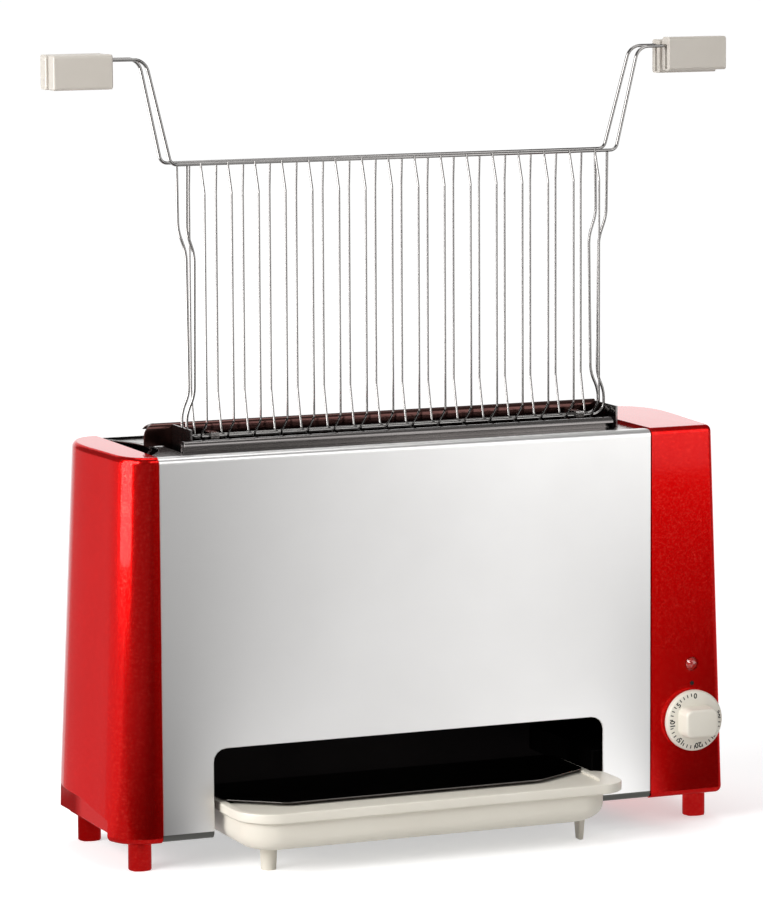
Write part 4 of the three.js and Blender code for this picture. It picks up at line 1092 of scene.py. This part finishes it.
# Floor, world, lamps, and pale boards that only show as reflections
stageSet = {
    "floor": (0.82, 0.82, 0.82),
    "floorHalf": 60,
    "floorRough": 0.9,
    "lift": (0.5, 0.78),
    "liftSpan": (0.6, 3),
    # What reflections show of the floor in front: places along a slant, and the brightness there
    "mirroredSlant": 0.417,
    "mirroredFloor": [
        (-0.7, 0.4), (-0.4, 0.14), (-0.22, 0.03), (-0.182, 0.03), (-0.168, 1.08), (-0.05, 0.84),
        (0.05, 0.98), (0.13, 1.56), (0.155, 0.04), (0.3, 0.04), (0.5, 0.5)
    ],
    # And its brightness from the front feet back, and behind the object's middle
    "mirroredFeet": 0.62,
    "feetSpan": (-0.105, -0.085),
    "mirroredRear": 1.05,
    "rearSpan": (0, 0.05),
    "worldDiffuse": 0.3,
    "worldGlossy": 0.28,
    "lampAim": (0, 0, 0.15),
    "lamps": {
        "keyLamp": {"place": (-2.0, -0.7, 1.1), "size": 1.2, "power": 46},
        "frontLamp": {"place": (0.6, -2.0, 1.8), "size": 1.2, "power": 8},
        "topLamp": {"place": (0.1, 0.5, 2.4), "size": 1.4, "power": 14},
    },
    "boards": {
        "rightBoard": {"corner": (0.66, -1.6, 0), "along": (1.6, 0.3, 0), "rise": 1.3, "strength": 2.2},
        "leftBoard": {"corner": (-0.6, -0.17, 0.14), "along": (0, 0.34, 0), "rise": 0.4, "strength": 9},
        "rearBoard": {"corner": (-0.6, 2.4, 0.2), "along": (3.2, 0, 0), "rise": 1.6, "strength": 1.25},
    },
}


def rayMask(tree, *kinds):
    rays = addNode(tree, "ShaderNodeLightPath")
    seen = rays.outputs[kinds[0]]
    for kind in kinds[1:]:
        seen = mathNode(tree, "MAXIMUM", seen, rays.outputs[kind])
    return seen


def mirroredBrightness(tree, axes):
    slanted = mathNode(tree, "MULTIPLY", axes[1], stageSet["mirroredSlant"])
    slanted = mathNode(tree, "ADD", axes[0], slanted)
    steps = stageSet["mirroredFloor"]
    mirrored = steps[0][1]
    for (start, low), (end, high) in zip(steps, steps[1:]):
        mirrored = mathNode(tree, "ADD", rangeOf(tree, slanted, start, end, 0, high - low), mirrored)
    for value, span in (("mirroredFeet", "feetSpan"), ("mirroredRear", "rearSpan")):
        share = rangeOf(tree, axes[1], *stageSet[span], 0, 1)
        mirrored = mixColour(tree, share, mirrored, (stageSet[value],) * 3)
    return mirrored


def makeFloor():
    bm = bmesh.new()
    bmesh.ops.create_grid(bm, x_segments=1, y_segments=1, size=stageSet["floorHalf"])
    floor = newObject("floor", toMesh(bm, "floor"))
    material, tree, shader = newMaterial("floor")
    place = placeOf(tree)
    away = addNode(tree, "ShaderNodeVectorMath", operation="LENGTH")
    feed(tree, away.inputs[0], place)
    lift = rangeOf(tree, away.outputs["Value"], *stageSet["liftSpan"], *stageSet["lift"])
    lifted = mathNode(tree, "MULTIPLY", rayMask(tree, "Is Camera Ray", "Is Transmission Ray"), lift)
    glossy = rayMask(tree, "Is Glossy Ray")
    mirrored = mathNode(tree, "MULTIPLY", glossy, mirroredBrightness(tree, axesOf(tree, place)))
    feedAll(tree, shader, {
        "Base Color": mixColour(tree, glossy, stageSet["floor"], (0, 0, 0)),
        "Roughness": stageSet["floorRough"],
        "Specular IOR Level": 0,
        "Emission Color": (1, 1, 1),
        "Emission Strength": mathNode(tree, "ADD", lifted, mirrored),
    })
    floor.data.materials.append(material)


def makeWorld():
    world = bpy.data.worlds.new("studio")
    bpy.context.scene.world = world
    world.use_nodes = True
    tree = world.node_tree
    tree.nodes.clear()
    base = stageSet["worldDiffuse"]
    seen = rayMask(tree, "Is Camera Ray", "Is Transmission Ray")
    lifted = mathNode(tree, "MULTIPLY", seen, 1 - base)
    lowered = mathNode(tree, "MULTIPLY", rayMask(tree, "Is Glossy Ray"), stageSet["worldGlossy"] - base)
    total = mathNode(tree, "ADD", mathNode(tree, "ADD", lifted, lowered), base)
    background = addNode(tree, "ShaderNodeBackground")
    feedAll(tree, background, {"Color": (1, 1, 1), "Strength": total})
    output = addNode(tree, "ShaderNodeOutputWorld")
    tree.links.new(background.outputs[0], output.inputs[0])


def makeBoards():
    for name, values in stageSet["boards"].items():
        corner, along = Vector(values["corner"]), Vector(values["along"])
        rise = Vector((0, 0, values["rise"]))
        bm = bmesh.new()
        spots = (corner, corner + along, corner + along + rise, corner + rise)
        bm.faces.new([bm.verts.new(spot) for spot in spots])
        board = newObject(name, toMesh(bm, name))
        material, tree, light = newMaterial(name, "ShaderNodeEmission")
        feedAll(tree, light, {"Strength": values["strength"]})
        board.data.materials.append(material)
        board.visible_camera = False
        board.visible_diffuse = False
        board.visible_shadow = False
        board.visible_transmission = False


def makeLamps():
    for name, values in stageSet["lamps"].items():
        lamp = bpy.data.lights.new(name, "AREA")
        lamp.energy = values["power"]
        lamp.shape = "SQUARE"
        lamp.size = values["size"]
        holder = newObject(name, lamp)
        holder.location = values["place"]
        aim = Vector(stageSet["lampAim"]) - Vector(values["place"])
        holder.rotation_euler = aim.to_track_quat("-Z", "Y").to_euler()


makeFloor()
makeWorld()
makeBoards()
makeLamps()
print("stage made")
